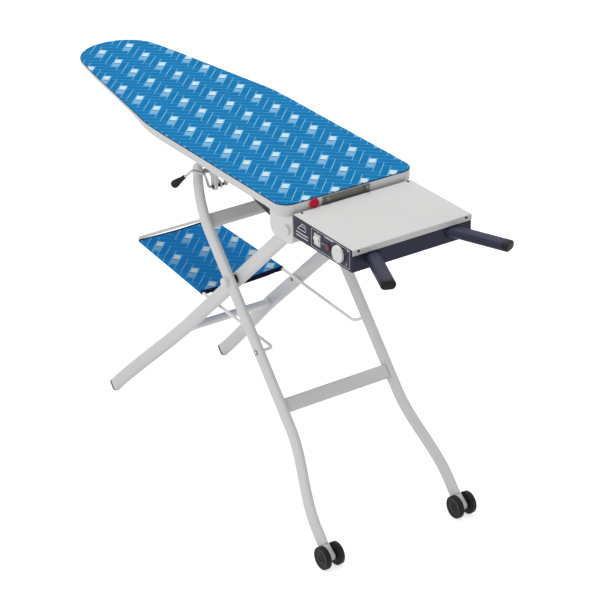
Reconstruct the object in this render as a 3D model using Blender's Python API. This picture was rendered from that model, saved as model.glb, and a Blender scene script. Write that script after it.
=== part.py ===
"""A folding vacuum ironing table with heated board, iron rest, laundry shelf and four fixed wheels.

X runs along the board towards the iron rest, Y across it, Z up. The origin is on the floor, under
the middle of the whole table. The near side is the -Y side, which carries the controls.
"""
import math

import bmesh
import bpy
from mathutils import Matrix, Vector

for old in list(bpy.data.objects):
    bpy.data.objects.remove(old, do_unlink=True)

# Clearances
GAP = 0.0003                # between pieces that lie on each other
PLAY = 0.0006               # round a piece that slides or turns in another
CUT = 0.012                 # how far a cutting tool runs past the piece

# The board
BOARD_LENGTH = 1.16
BOARD_WIDTH = 0.392
BOARD_HEIGHT = 0.888        # floor to the top of the cover
CORNER_RADIUS = 0.036       # at the wide end
NOSE_LENGTH = 0.105         # the round stretch at the narrow end
COVER_THICKNESS = 0.0017
COVER_EDGE = 0.003          # rounding of the cover's edge
SKIRT_HEIGHT = 0.0078       # how far the cover reaches down round the pad
PAD_THICKNESS = 0.0045
PLATE_THICKNESS = 0.0012
PLATE_HOLE_RADIUS = 0.006
PLATE_HOLE_PITCH_X = 0.110
PLATE_HOLE_PITCH_Y = 0.070
TRAY_WALL = 0.0018
TRAY_PROUD = 0.0006         # the tray stands this far outside the cover's skirt
TRAY_FLANGE = 0.009         # inward lip that carries the perforated plate
TRAY_DEPTH_END = 0.0345     # top of the cover to the tray's underside, at the wide end
TRAY_DEPTH_SIDE = 0.0262
TRAY_DEPTH_NOSE = 0.0150
TRAY_BOTTOM_ROUND = 0.005
# Where the tray's depth changes, as shares of the board's length
TRAY_DEPTH_SHARES = (0.05, 0.14, 0.474, 0.655)
# The board's half width along its tapered side: shares of the length and of the half width
TAPER_SHARES = ((0.40, 1.0), (0.474, 1.0), (0.535, 0.984), (0.595, 0.926), (0.655, 0.867),
                (0.716, 0.807), (0.785, 0.740), (0.853, 0.673))
NOSE_WIDTH_SHARE = 0.594

# The iron rest on the wide end
REST_GAP = 0.0118           # from the board's end to the rest
REST_DEPTH = 0.2375
REST_WIDTH = 0.3448
REST_HEIGHT = 0.0574
REST_DROP = 0.0220          # top of the cover to the top of the rest
REST_WALL = 0.0015
LID_THICKNESS = 0.0012
LID_LIP = 0.0150            # the lid's front edge, bent down
LID_SCREW_INSET = 0.013
LID_SCREW_RADIUS = 0.0029

# The two splayed arms that slide out of the rest
ARM_WIDTH = 0.038
ARM_THICKNESS = 0.0235
ARM_WALL = 0.0015
ARM_SPLAY = math.radians(22.6)
ARM_SPREAD = 0.1155         # middle of the rest to the arm's axis, at the rest's front
ARM_REACH = 0.1553          # front of the rest to the arm's end
ARM_HELD = 0.085            # length of the arm inside the rest when it is pulled out
ARM_LEVEL = 0.0510          # top of the cover down to the arm's axis
ARM_CAP_LENGTH = 0.014
ARM_CAP_BEVEL = 0.0028
ARM_CAP_PLUG = 0.012
ARM_STEPS = 5               # facets in each half circle of the arm's section
ARM_GUIDE_INSET = 0.032      # rest's front back to the cross wall that guides the arms
ARM_GUIDE_THICKNESS = 0.002

# The controls on the near side of the rest
PANEL_THICKNESS = 0.0012
PANEL_LENGTH = 0.1562
PANEL_HEIGHT = 0.0503
PANEL_LEVEL = 0.02735        # rest's top down to the panel's middle
PANEL_END_MARGIN = 0.0054   # panel to the rest's front edge
ROCKER_INSET = 0.1377       # from the rest's front back to the switch
ROCKER_LENGTH = 0.025
ROCKER_HEIGHT = 0.0300
ROCKER_PROUD = 0.0052
ROCKER_DEPTH = 0.010
ROCKER_FRAME = 0.0022
SWITCH_DEPTH = 0.022
LAMP_INSET = 0.0939
LAMP_LEVEL = 0.0278
LAMP_RADIUS = 0.0100
LAMP_PROUD = 0.0025
LAMP_DEPTH = 0.016
KNOB_INSET = 0.0500
KNOB_RADIUS = 0.0211
KNOB_HEIGHT = 0.0068
KNOB_SHAFT_RADIUS = 0.003
THERMOSTAT_SIZE = 0.034
THERMOSTAT_DEPTH = 0.024
CONTROL_LEVEL = 0.0273      # rest's top down to the middle of the switch and the knob

# The wide end's face
BUTTON_Y = -0.1075
BUTTON_RADIUS = 0.0128
BUTTON_DROP = 0.0128        # top of the cover to the button's middle
BUTTON_PROUD = 0.0065
BUTTON_STEM_RADIUS = 0.0045
BUTTON_STEM = 0.020
BUTTON_TRAVEL = 0.003
END_PLATE_LOW_Y = -0.081
END_PLATE_HIGH_Y = 0.057
END_PLATE_THICKNESS = 0.0020
END_PLATE_TOP = 0.0050      # top of the cover to the plate's upper edge
END_PLATE_HEIGHT = 0.0260
END_SCREW_INSET = 0.0115
END_SCREW_RADIUS = 0.0036
SUPPORT_BAR_Y = 0.070
SUPPORT_BAR_WIDTH = 0.020
SUPPORT_BAR_HEIGHT = 0.0080
SUPPORT_BAR_IN_BOARD = 0.062
SUPPORT_BAR_IN_REST = 0.014

# The suction duct with its fan, under the board
DUCT_START = 0.068          # from the board's end
DUCT_END = 0.340
DUCT_HALF_WIDTH = 0.112
DUCT_DEPTH = 0.1155         # top of the cover to the level stretch under the fan
DUCT_DEPTH_END = 0.0760
DUCT_SLOPE_START = 0.176
DUCT_WALL = 0.0022
FAN_X = 0.130
FAN_RADIUS = 0.058
FAN_HUB_RADIUS = 0.016
FAN_BLADES = 9
FAN_BLADE_THICKNESS = 0.002
FAN_HEIGHT = 0.024
FAN_DISC = 0.002
FAN_CLEARANCE = 0.012       # tray's underside to the fan
MOTOR_CLEARANCE = 0.004
MOTOR_RADIUS = 0.030
MOTOR_HEIGHT = 0.030
MOTOR_SHAFT_RADIUS = 0.003
MOTOR_FOOT_RADIUS = 0.040
MOTOR_FOOT = 0.003
INTAKE_RADIUS = 0.040
GRILLE_WIDTH = 0.150
GRILLE_HEIGHT = 0.052
GRILLE_THICKNESS = 0.002
GRILLE_SLOTS = 7
GRILLE_SLOT = 0.0035
GRILLE_DROP = 0.022         # tray's underside to the grille's upper edge

# The heater under the perforated plate
HEATER_RADIUS = 0.0033
HEATER_RUNS = 4
HEATER_PITCH = 0.050
HEATER_START = 0.070
HEATER_END = 0.660

# Leg tube, a flat oval
TUBE_WIDTH = 0.038
TUBE_THICKNESS = 0.018
TUBE_WALL = 0.0014

# The folding scissor, in side view
HINGE_X = 0.038             # board's end back to the hinge
HINGE_DROP = 0.086          # top of the cover to the hinge
FEET_ANGLE = math.radians(43.9)
WHEEL_ANGLE = math.radians(48.6)
SCISSOR_SHARE = 0.2905      # of the inner leg's length, from the hinge to the floor

# The inner frame, which stands on feet; shares are of its leg's length
FEET_SPREAD_TOP = 0.1385    # middle of the table to the leg's middle
FEET_SPREAD_FLOOR = 0.178
FEET_BEND_SHARE = 0.5888
FEET_BEND_TO_END = 0.005    # end of the bend to the end of the tube
FEET_TUBE_TOP = 0.026
FEET_BAR_SHARE = 0.6213
FOOT_TO_FLOOR = 0.0106      # the cap's end to where the leg's middle line meets the floor
FOOT_CAP_LENGTH = 0.028     # past the tube's end
FOOT_CUFF = 0.020
FOOT_WALL = 0.0020
PEG_RADIUS = 0.005
PEG_LENGTH = 0.015
KNUCKLE_RADIUS = 0.0148
KNUCKLE_THICKNESS = 0.0150
KNUCKLE_PLUG = 0.016
PEG_HEAD = 0.0015
PIN_RADIUS = 0.004
PIN_CLEARANCE = 0.0003

# The outer frame, which rolls on wheels; shares are of the lengths from the scissor's pivot
WHEEL_SPREAD_TOP = 0.1650
WHEEL_SPREAD_FLOOR = 0.2040
WHEEL_BEND_SHARES = (0.5488, 0.8975)
LOWER_BAR_SHARE = 0.4717
SLIDE_DROP = 0.103          # top of the cover to the slide bar
TOP_BEND_SHARE = 0.4674
UPPER_BAR_SHARE = 0.5573
TOP_DRAW_IN = 0.0387        # how far the tube's top is drawn in
SLIDE_BAR_TO_TOP = 0.018    # slide bar to the top of the tube
SLIDE_BAR_RADIUS = 0.007
AXLE_OFFSET = 0.0088
WHEEL_RADIUS = 0.030
WHEEL_THICKNESS = 0.0150
WHEEL_SPACING = 0.0390      # between the two discs of a pair, middle to middle
WHEEL_HUB_RADIUS = 0.010
WHEEL_EDGE = 0.003          # bevel of the tread's edges
AXLE_RADIUS = 0.0035
AXLE_HEAD_RADIUS = 0.0060
AXLE_HEAD = 0.0018
LEG_END_RADIUS = 0.0140
LEG_END_TUBE = 0.030        # wheel axis up to the end of the tube
LEG_END_PLUG = 0.020
SCISSOR_CAP_RADIUS = 0.0130
SCISSOR_CAP_HEIGHT = 0.0135
SCISSOR_NUT_RADIUS = 0.0072
SCISSOR_NUT_HEIGHT = 0.0050
SPACER_RADIUS = 0.0115

# The white hinge brackets under the wide end
BRACKET_FRONT = 0.018       # board's end back to the bracket
BRACKET_LENGTH = 0.096
BRACKET_BELOW_HINGE = 0.036
BRACKET_CHEEK = 0.0055
BRACKET_INNER_CHEEK = 0.0045
BRACKET_WEB = 0.0035
BRACKET_TOP_WEB = 0.006
BRACKET_ROUND = 0.020
HINGE_CAP_RADIUS = 0.013
HINGE_CAP_HEIGHT = 0.008

# Rails and latch under the board
RAIL_AHEAD = 0.010         # slide bar forward to the rail's end
RAIL_LENGTH = 0.2594
RAIL_Y = 0.095
RAIL_THICKNESS = 0.003
RAIL_FLANGE = 0.014
RAIL_CLEARANCE = 0.0035     # slide bar to the rail's lower edge
RAIL_HOLE_RADIUS = 0.006
RAIL_HOLES = 7
LATCH_AHEAD = 0.0566        # slide bar forward to the lever's axle
LATCH_BELOW = 0.0190
LEVER_RADIUS = 0.0034
LEVER_ELBOW = 0.136         # middle of the table to the axle's outer bend
LEVER_REACH = 0.064         # elbow to grip, across the table
LEVER_RISE = 0.062
LEVER_BEND = 0.009
# The rod's bends past its elbow: forward and up as shares of the rise, out as shares of the reach
LEVER_ROUTE_SHARES = ((0.266, 0.36, 0.81), (0.024, 0.79, 1.0), (-0.07, 0.95, 0.80), (-0.17, 1.0, 0.70))
LATCH_EAR_Y = 0.120
LATCH_EAR_THICKNESS = 0.007
LATCH_EAR_TOP_LENGTH = 0.036
LATCH_EAR_RADIUS = 0.011
AXLE_CLIP_Y = 0.086
AXLE_CLIP_THICKNESS = 0.005
AXLE_CLIP_LENGTH = 0.014
PAWL_Y = 0.103
PAWL_THICKNESS = 0.004
PAWL_WIDTH = 0.014
GRIP_LENGTH = 0.046
GRIP_RADIUS = 0.0095
GRIP_NECK_RADIUS = 0.0055

# The laundry shelf
SHELF_PIVOT_SHARE = 0.2661  # of the outer leg's length, from the scissor's pivot to the axle
SHELF_TILT = math.radians(3.0)
SHELF_LENGTH = 0.668        # pivot to the closed end of the wire
WIRE_RADIUS = 0.0038
WIRE_SPREAD = 0.1243        # middle of the table to the side wire, at the pivot
WIRE_SPREAD_END = 0.1122
WIRE_TAPER_SHARE = 0.452    # of the wire's length, where its sides begin to draw in
WIRE_CORNER = 0.012
WIRE_SIDE_BEND = 0.014
CLOTH_TO_END = 0.017        # closed end of the wire back to the cloth
CLOTH_LENGTH_SHARE = 0.4925 # of the wire's length
CLOTH_THICKNESS = 0.0014
CLOTH_SAG = 0.004
PEG_GAP = 0.0006

# Mains inlet
GLAND_INSET = 0.0993        # from the rest's front back to the inlet
GLAND_RADIUS = 0.0085
GLAND_LENGTH = 0.016
GLAND_BORE = 0.0038

# Where things are in the table's own frame
arm_half = ARM_WIDTH / 2 - ARM_CAP_BEVEL
arm_tip = REST_GAP + REST_DEPTH + ARM_REACH * math.cos(ARM_SPLAY) + arm_half * math.sin(ARM_SPLAY)
END_X = (BOARD_LENGTH + TRAY_PROUD - arm_tip) / 2
HALF_WIDTH = BOARD_WIDTH / 2
COVER_BOTTOM = BOARD_HEIGHT - COVER_THICKNESS
PAD_TOP = COVER_BOTTOM - GAP
PAD_BOTTOM = PAD_TOP - PAD_THICKNESS
PLATE_TOP = PAD_BOTTOM - GAP
PLATE_BOTTOM = PLATE_TOP - PLATE_THICKNESS
TRAY_TOP = min(PLATE_BOTTOM, BOARD_HEIGHT - SKIRT_HEIGHT) - GAP
TRAY_UNDERSIDE = BOARD_HEIGHT - TRAY_DEPTH_SIDE
REST_X = END_X + REST_GAP
REST_FRONT = REST_X + REST_DEPTH
REST_TOP = BOARD_HEIGHT - REST_DROP
REST_BOTTOM = REST_TOP - REST_HEIGHT
REST_SIDE = REST_WIDTH / 2
LID_BOTTOM = REST_TOP - LID_THICKNESS
CONTROL_Z = REST_TOP - CONTROL_LEVEL
PANEL_Z = REST_TOP - PANEL_LEVEL
LAMP_Z = REST_TOP - LAMP_LEVEL
ROCKER_X = REST_FRONT - ROCKER_INSET
LAMP_X = REST_FRONT - LAMP_INSET
KNOB_X = REST_FRONT - KNOB_INSET
GLAND_X = REST_FRONT - GLAND_INSET
DUCT_FLOOR = BOARD_HEIGHT - DUCT_DEPTH
DUCT_FLOOR_END = BOARD_HEIGHT - DUCT_DEPTH_END
ARM_Z = BOARD_HEIGHT - ARM_LEVEL
HINGE = Vector((END_X - HINGE_X, 0, BOARD_HEIGHT - HINGE_DROP))
BRACKET_BOTTOM = HINGE.z - BRACKET_BELOW_HINGE
feet_length = HINGE.z / math.sin(FEET_ANGLE)
FOOT_END = feet_length - FOOT_TO_FLOOR
FEET_TUBE_END = FOOT_END - FOOT_CAP_LENGTH
FEET_BEND_START = feet_length * FEET_BEND_SHARE
FEET_BEND_END = FEET_TUBE_END - FEET_BEND_TO_END
FEET_BAR = feet_length * FEET_BAR_SHARE
FEET_DOWN = Vector((-math.cos(FEET_ANGLE), 0, -math.sin(FEET_ANGLE)))
FEET_ACROSS = Vector((math.sin(FEET_ANGLE), 0, -math.cos(FEET_ANGLE)))
SCISSOR = HINGE + FEET_DOWN * feet_length * SCISSOR_SHARE
WHEEL_DOWN = Vector((math.cos(WHEEL_ANGLE), 0, -math.sin(WHEEL_ANGLE)))
WHEEL_ACROSS = Vector((math.sin(WHEEL_ANGLE), 0, math.cos(WHEEL_ANGLE)))
AXLE_DISTANCE = (SCISSOR.z + AXLE_OFFSET * math.cos(WHEEL_ANGLE) - WHEEL_RADIUS) / math.sin(WHEEL_ANGLE)
AXLE = SCISSOR + WHEEL_DOWN * AXLE_DISTANCE + WHEEL_ACROSS * AXLE_OFFSET
WHEEL_BEND_START, WHEEL_BEND_END = (share * AXLE_DISTANCE for share in WHEEL_BEND_SHARES)
LOWER_BAR = AXLE_DISTANCE * LOWER_BAR_SHARE
SLIDE_BAR = (BOARD_HEIGHT - SLIDE_DROP - SCISSOR.z) / math.sin(WHEEL_ANGLE)
UPPER_BAR = SLIDE_BAR * UPPER_BAR_SHARE
WHEEL_TUBE_TOP = SLIDE_BAR + SLIDE_BAR_TO_TOP
TOP_BEND_START = SLIDE_BAR * TOP_BEND_SHARE
TOP_BEND_RADIUS = (WHEEL_TUBE_TOP - TOP_BEND_START) ** 2 / (2 * TOP_DRAW_IN)
SHELF_HINGE = SCISSOR + WHEEL_DOWN * AXLE_DISTANCE * SHELF_PIVOT_SHARE
SHELF_OUT = Vector((-math.cos(SHELF_TILT), 0, math.sin(SHELF_TILT)))
SHELF_UP = Vector((math.sin(SHELF_TILT), 0, math.cos(SHELF_TILT)))
WIRE_TAPER_START = SHELF_LENGTH * WIRE_TAPER_SHARE
CLOTH_END = SHELF_LENGTH - CLOTH_TO_END
CLOTH_START = CLOTH_END - SHELF_LENGTH * CLOTH_LENGTH_SHARE
SLIDE = SCISSOR - WHEEL_DOWN * SLIDE_BAR
BRACKET_OUTER = (WHEEL_SPREAD_TOP + FEET_SPREAD_TOP + BRACKET_CHEEK) / 2
BRACKET_INNER = FEET_SPREAD_TOP - TUBE_THICKNESS / 2 - PLAY * 3 - BRACKET_INNER_CHEEK
RAIL_BOTTOM = SLIDE.z + SLIDE_BAR_RADIUS + RAIL_CLEARANCE
LATCH = SLIDE + Vector((LATCH_AHEAD, 0, -LATCH_BELOW))
FAN = Vector((END_X - FAN_X, 0, 0))
FEET_LEG_INNER = FEET_SPREAD_TOP - TUBE_THICKNESS / 2
FEET_LEG_OUTER = FEET_SPREAD_TOP + TUBE_THICKNESS / 2
WHEEL_LEG_INNER = WHEEL_SPREAD_TOP - TUBE_THICKNESS / 2
WHEEL_LEG_OUTER = WHEEL_SPREAD_TOP + TUBE_THICKNESS / 2
PIN_HOLE = PIN_RADIUS + PIN_CLEARANCE
SIDES = (("near", -1), ("far", 1))
ALONG_X = Vector((1, 0, 0))
ACROSS = Vector((0, 1, 0))
UP = Vector((0, 0, 1))

# Materials

MATERIALS = {
    "white_paint": ((0.80, 0.81, 0.82), 0.35, 0.0),
    "white_plastic": ((0.84, 0.84, 0.83), 0.40, 0.0),
    "navy_paint": ((0.022, 0.024, 0.075), 0.35, 0.0),
    "grey_paint": ((0.62, 0.63, 0.63), 0.38, 0.0),
    "dark_plastic": ((0.030, 0.030, 0.032), 0.50, 0.0),
    "black_plastic": ((0.012, 0.012, 0.013), 0.42, 0.0),
    "red_plastic": ((0.62, 0.01, 0.035), 0.30, 0.0),
    "lamp_lens": ((0.45, 0.01, 0.03), 0.15, 0.0),
    "zinc_steel": ((0.55, 0.55, 0.55), 0.32, 1.0),
    "cover_fabric": ((0.005, 0.16, 0.48), 0.85, 0.0),
    "pad_felt": ((0.72, 0.70, 0.64), 0.95, 0.0),
}


def material(name):
    """Return the named finish, made the first time it is asked for."""
    found = bpy.data.materials.get(name)
    if found:
        return found
    colour, roughness, metallic = MATERIALS[name]
    made = bpy.data.materials.new(name)
    made.use_nodes = True
    shader = made.node_tree.nodes["Principled BSDF"]
    shader.inputs["Base Color"].default_value = (*colour, 1)
    shader.inputs["Roughness"].default_value = roughness
    shader.inputs["Metallic"].default_value = metallic
    return made


# Helpers that make meshes

def finish(bm, name, finish_name, parent=None, smooth=True):
    """Turn a bmesh in world coordinates into a named object with its own finish."""
    bmesh.ops.recalc_face_normals(bm, faces=bm.faces)
    mesh = bpy.data.meshes.new(name)
    bm.to_mesh(mesh)
    bm.free()
    if smooth:
        mesh.shade_smooth()
        mesh.set_sharp_from_angle(angle=math.radians(35))
    mesh.materials.append(material(finish_name))
    made = bpy.data.objects.new(name, mesh)
    bpy.context.collection.objects.link(made)
    if parent:
        made.parent = parent
        made.matrix_parent_inverse = parent.matrix_world.inverted()
    return made


def joint_empty(name, place):
    """Mark a joint's axis with an empty, which carries the pieces that move on it."""
    empty = bpy.data.objects.new(name, None)
    empty.location = place
    bpy.context.collection.objects.link(empty)
    bpy.context.view_layer.update()
    return empty


def add_loft(bm, rings, capped=True):
    """Join closed rings of equal length; cap the first and last, or join them to a closed band."""
    loops = [[bm.verts.new(point) for point in ring] for ring in rings]
    pairs = list(zip(loops, loops[1:]))
    if not capped:
        pairs.append((loops[-1], loops[0]))
    for low, high in pairs:
        for here in range(len(low)):
            after = (here + 1) % len(low)
            bm.faces.new((low[here], low[after], high[after], high[here]))
    if capped:
        bm.faces.new(loops[0])
        bm.faces.new(loops[-1])


def add_box(bm, low, high):
    """Add a box between two corners."""
    (x0, y0, z0), (x1, y1, z1) = low, high
    bottom = ((x0, y0, z0), (x1, y0, z0), (x1, y1, z0), (x0, y1, z0))
    top = [(x, y, z1) for x, y, _ in bottom]
    add_loft(bm, (bottom, top))


def side_frame(axis):
    """Two directions at right angles to an axis."""
    axis = Vector(axis).normalized()
    helper = UP if abs(axis.z) < abs(axis.x) + abs(axis.y) else ALONG_X
    first = axis.cross(helper).normalized()
    return first, axis.cross(first).normalized()


def add_turned(bm, start, axis, profile, sides=16, phase=0.5):
    """Turn a profile of (distance along the axis, radius); a radius of 0 closes to a point."""
    axis = Vector(axis).normalized()
    first, second = side_frame(axis)
    loops = []
    for along, radius in profile:
        middle = Vector(start) + axis * along
        if radius == 0:
            loops.append([bm.verts.new(middle)])
            continue
        turns = [2 * math.pi * (step + phase) / sides for step in range(sides)]
        loops.append([bm.verts.new(middle + first * radius * math.cos(t) + second * radius * math.sin(t))
                      for t in turns])
    for low, high in zip(loops, loops[1:]):
        for here in range(sides):
            after = (here + 1) % sides
            if len(low) == 1:
                bm.faces.new((low[0], high[after], high[here]))
            elif len(high) == 1:
                bm.faces.new((low[here], low[after], high[0]))
            else:
                bm.faces.new((low[here], low[after], high[after], high[here]))
    for end in (loops[0], loops[-1]):
        if len(end) > 1:
            bm.faces.new(end)


def add_rod(bm, start, axis, length, radius, sides=16):
    """Add a plain round bar."""
    add_turned(bm, start, axis, ((0, radius), (length, radius)), sides)


def add_ring(bm, start, axis, profile, bore, sides=20):
    """Turn a profile of (along, radius) round a bore."""
    axis = Vector(axis).normalized()
    first, second = side_frame(axis)
    closed = list(profile) + [(profile[-1][0], bore), (profile[0][0], bore)]
    rings = []
    for along, radius in closed:
        middle = Vector(start) + axis * along
        rings.append([middle + first * radius * math.cos(2 * math.pi * (step + 0.5) / sides)
                      + second * radius * math.sin(2 * math.pi * (step + 0.5) / sides) for step in range(sides)])
    add_loft(bm, rings, capped=False)


def add_plate(bm, outline, direction, thickness):
    """Extrude a flat outline of points along a direction."""
    step = Vector(direction).normalized() * thickness
    low = [Vector(point) for point in outline]
    add_loft(bm, (low, [point + step for point in low]))


def arc(middle, radius, start, end, steps):
    """Points (first, second) on an arc in a plane; angles in degrees."""
    return [(middle[0] + radius * math.cos(math.radians(start + (end - start) * step / steps)),
             middle[1] + radius * math.sin(math.radians(start + (end - start) * step / steps)))
            for step in range(steps + 1)]


def flat_oval(width, thickness, steps=3):
    """A flat oval about the origin: half circles joined by straight sides."""
    radius = thickness / 2
    reach = width / 2 - radius
    return arc((reach, 0), radius, -90, 90, steps) + arc((-reach, 0), radius, 90, 270, steps)


def add_sweep(bm, points, wide, width, thickness, wall=0.0, steps=3):
    """Carry a flat oval along points; its width lies along the direction called wide."""
    rings = []
    hollow = []
    for here, point in enumerate(points):
        ahead = points[min(here + 1, len(points) - 1)] - points[max(here - 1, 0)]
        thin = ahead.normalized().cross(wide).normalized()
        rings.append([point + wide * a + thin * b for a, b in flat_oval(width, thickness, steps)])
        if wall:
            inner = flat_oval(width - 2 * wall, thickness - 2 * wall, steps)
            hollow.append([point + wide * a + thin * b for a, b in inner])
    if wall:
        add_loft(bm, rings + hollow[::-1], capped=False)
    else:
        add_loft(bm, rings)


def add_wire(bm, points, radius, sides=8):
    """Carry a round section along points."""
    rings = []
    first, _ = side_frame(points[1] - points[0])
    for here, point in enumerate(points):
        ahead = (points[min(here + 1, len(points) - 1)] - points[max(here - 1, 0)]).normalized()
        first = (first - ahead * first.dot(ahead)).normalized()
        second = ahead.cross(first)
        rings.append([point + first * radius * math.cos(2 * math.pi * s / sides)
                      + second * radius * math.sin(2 * math.pi * s / sides) for s in range(sides)])
    add_loft(bm, rings)


def rounded(points, radius, steps=4):
    """Round the inner corners of a route of points by arcs' worth of points."""
    route = [Vector(points[0])]
    for before, corner, after in zip(points, points[1:], points[2:]):
        corner = Vector(corner)
        back = (Vector(before) - corner)
        on = (Vector(after) - corner)
        reach = min(radius, back.length / 2, on.length / 2)
        start = corner + back.normalized() * reach
        end = corner + on.normalized() * reach
        for step in range(steps + 1):
            t = step / steps
            route.append(start * (1 - t) ** 2 + corner * 2 * t * (1 - t) + end * t ** 2)
    route.append(Vector(points[-1]))
    return route


def solid(bm):
    """A scratch object from a bmesh, to cut or join with."""
    bmesh.ops.recalc_face_normals(bm, faces=bm.faces)
    mesh = bpy.data.meshes.new("tool")
    bm.to_mesh(mesh)
    bm.free()
    tool = bpy.data.objects.new("tool", mesh)
    tool.hide_render = True
    tool.display_type = "WIRE"
    bpy.context.collection.objects.link(tool)
    return tool


def combine(target, bm, operation="DIFFERENCE"):
    """Cut the bmesh's solids from an object, or join them to it."""
    tool = solid(bm)
    modifier = target.modifiers.new("combine", "BOOLEAN")
    modifier.operation = operation
    modifier.solver = "EXACT"
    modifier.object = tool
    bpy.context.view_layer.update()
    graph = bpy.context.evaluated_depsgraph_get()
    mesh = bpy.data.meshes.new_from_object(target.evaluated_get(graph))
    target.modifiers.clear()
    target.data = mesh
    bpy.data.objects.remove(tool, do_unlink=True)
    return target


def ease(share):
    """Rise smoothly from 0 to 1."""
    share = min(max(share, 0), 1)
    return share * share * (3 - 2 * share)


# The board

def half_outline():
    """The board's near half edge as (distance from the wide end, half width), wide end first."""
    points = [(CORNER_RADIUS - a, HALF_WIDTH - CORNER_RADIUS + b)
              for a, b in arc((0, 0), CORNER_RADIUS, 0, 90, 5)]
    points += [(BOARD_LENGTH * share, HALF_WIDTH) for share in TRAY_DEPTH_SHARES[:2]]
    points += [(BOARD_LENGTH * along, HALF_WIDTH * wide) for along, wide in TAPER_SHARES]
    nose = HALF_WIDTH * NOSE_WIDTH_SHARE
    for step in range(9):
        turn = math.radians(86 * step / 8)
        points.append((BOARD_LENGTH - NOSE_LENGTH * (1 - math.sin(turn)), nose * math.cos(turn)))
    points.append((BOARD_LENGTH, nose * math.cos(math.radians(88))))
    return points


def outline(inset=0.0):
    """Half outline moved inwards by an inset, as stations (x, half width)."""
    points = [Vector((END_X - along, wide)) for along, wide in half_outline()]
    moved = []
    for here, point in enumerate(points):
        before = points[here - 1] if here else Vector((point.x, 0))
        after = points[here + 1] if here + 1 < len(points) else Vector((point.x, 0))
        first = (point - before).normalized()
        second = (after - point).normalized()
        normal_in = Vector((first.y, -first.x))
        normal_out = Vector((second.y, -second.x))
        middle = (normal_in + normal_out).normalized()
        shift = inset / max(middle.dot(normal_in), 0.5)
        moved.append(point - middle * shift)
    return moved


def add_slab(bm, rings):
    """Loft rings of (stations, height rule), from underneath to on top, closed by cross strips."""
    loops = []
    for stations, height in rings:
        near = [bm.verts.new((p.x, -p.y, height(p.x))) for p in stations]
        far = [bm.verts.new((p.x, p.y, height(p.x))) for p in stations]
        loops.append(near + far[::-1])
    for low, high in zip(loops, loops[1:]):
        for here in range(len(low)):
            after = (here + 1) % len(low)
            bm.faces.new((low[here], low[after], high[after], high[here]))
    for loop in (loops[0], loops[-1]):
        count = len(loop)
        for here in range(count // 2 - 1):
            bm.faces.new((loop[here], loop[here + 1], loop[count - 2 - here], loop[count - 1 - here]))


def level(height):
    """A height rule that is the same all along the board."""
    return lambda x: height


def tray_underside(lift):
    """A height rule: the tray's underside rises from the wide end to the nose; lift raises it."""
    depths = (TRAY_DEPTH_END, TRAY_DEPTH_SIDE, TRAY_DEPTH_SIDE, TRAY_DEPTH_NOSE)
    stops = [share * BOARD_LENGTH for share in TRAY_DEPTH_SHARES]

    def height(x):
        along = END_X - x
        depth = depths[0]
        for index in range(3):
            share = (along - stops[index]) / (stops[index + 1] - stops[index])
            depth += (depths[index + 1] - depths[index]) * min(max(share, 0), 1)
        return BOARD_HEIGHT - depth + lift
    return height


def under_tray(x):
    """The top of a piece that is fixed against the tray's underside."""
    return tray_underside(-GAP)(x)


def tray_stations(start, end):
    """The X places from start to end where the tray's underside bends, with both ends."""
    stops = [END_X - share * BOARD_LENGTH for share in TRAY_DEPTH_SHARES]
    return [start] + [x for x in stops if start > x > end] + [end]


def make_board_tray():
    """A white pan with a flat lip inside its rim, open for the duct, the button and the wires."""
    bm = bmesh.new()
    outer = outline(-TRAY_PROUD)
    belly = outline(-TRAY_PROUD + TRAY_BOTTOM_ROUND)
    inner = outline(-TRAY_PROUD + TRAY_WALL)
    floor = outline(-TRAY_PROUD + TRAY_WALL + TRAY_BOTTOM_ROUND)
    lip = outline(-TRAY_PROUD + TRAY_FLANGE)
    add_slab(bm, (
        (belly, tray_underside(0)),
        (outer, tray_underside(TRAY_BOTTOM_ROUND)),
        (outer, level(TRAY_TOP)),
        (lip, level(TRAY_TOP)),
        (lip, level(TRAY_TOP - TRAY_WALL)),
        (inner, level(TRAY_TOP - TRAY_WALL)),
        (inner, tray_underside(TRAY_BOTTOM_ROUND + TRAY_WALL)),
        (floor, tray_underside(TRAY_WALL)),
    ))
    tray = finish(bm, "board_tray", "white_paint")
    tools = bmesh.new()
    add_rod(tools, FAN + UP * (TRAY_UNDERSIDE - CUT), UP, 2 * CUT, INTAKE_RADIUS, 24)
    button = Vector((END_X - CUT, BUTTON_Y, BOARD_HEIGHT - BUTTON_DROP))
    add_rod(tools, button, ALONG_X, 2 * CUT, BUTTON_STEM_RADIUS + PLAY, 12)
    return combine(tray, tools)


def make_top_plate():
    """The perforated steel plate that the pad lies on."""
    bm = bmesh.new()
    edge = outline(COVER_THICKNESS + GAP + COVER_EDGE)
    add_slab(bm, ((edge, level(PLATE_BOTTOM)), (edge, level(PLATE_TOP))))
    plate = finish(bm, "perforated_plate", "zinc_steel")
    tools = bmesh.new()
    columns = int(BOARD_LENGTH / PLATE_HOLE_PITCH_X)
    for column in range(1, columns):
        x = END_X - column * PLATE_HOLE_PITCH_X
        half = max((p.y for p in edge if p.x <= x), default=0)
        rows = int((half - PLATE_HOLE_PITCH_Y / 2) / PLATE_HOLE_PITCH_Y)
        for row in range(-rows, rows + 1):
            place = Vector((x, row * PLATE_HOLE_PITCH_Y, PLATE_BOTTOM - CUT))
            add_rod(tools, place, UP, 2 * CUT, PLATE_HOLE_RADIUS, 6)
    return combine(plate, tools)


def make_pad():
    """The felt pad between the plate and the cover."""
    bm = bmesh.new()
    edge = outline(COVER_THICKNESS + GAP)
    top = outline(COVER_THICKNESS + GAP + COVER_EDGE)
    add_slab(bm, ((edge, level(PAD_BOTTOM)), (edge, level(PAD_TOP - COVER_EDGE)), (top, level(PAD_TOP))))
    return finish(bm, "felt_pad", "pad_felt")


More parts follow.
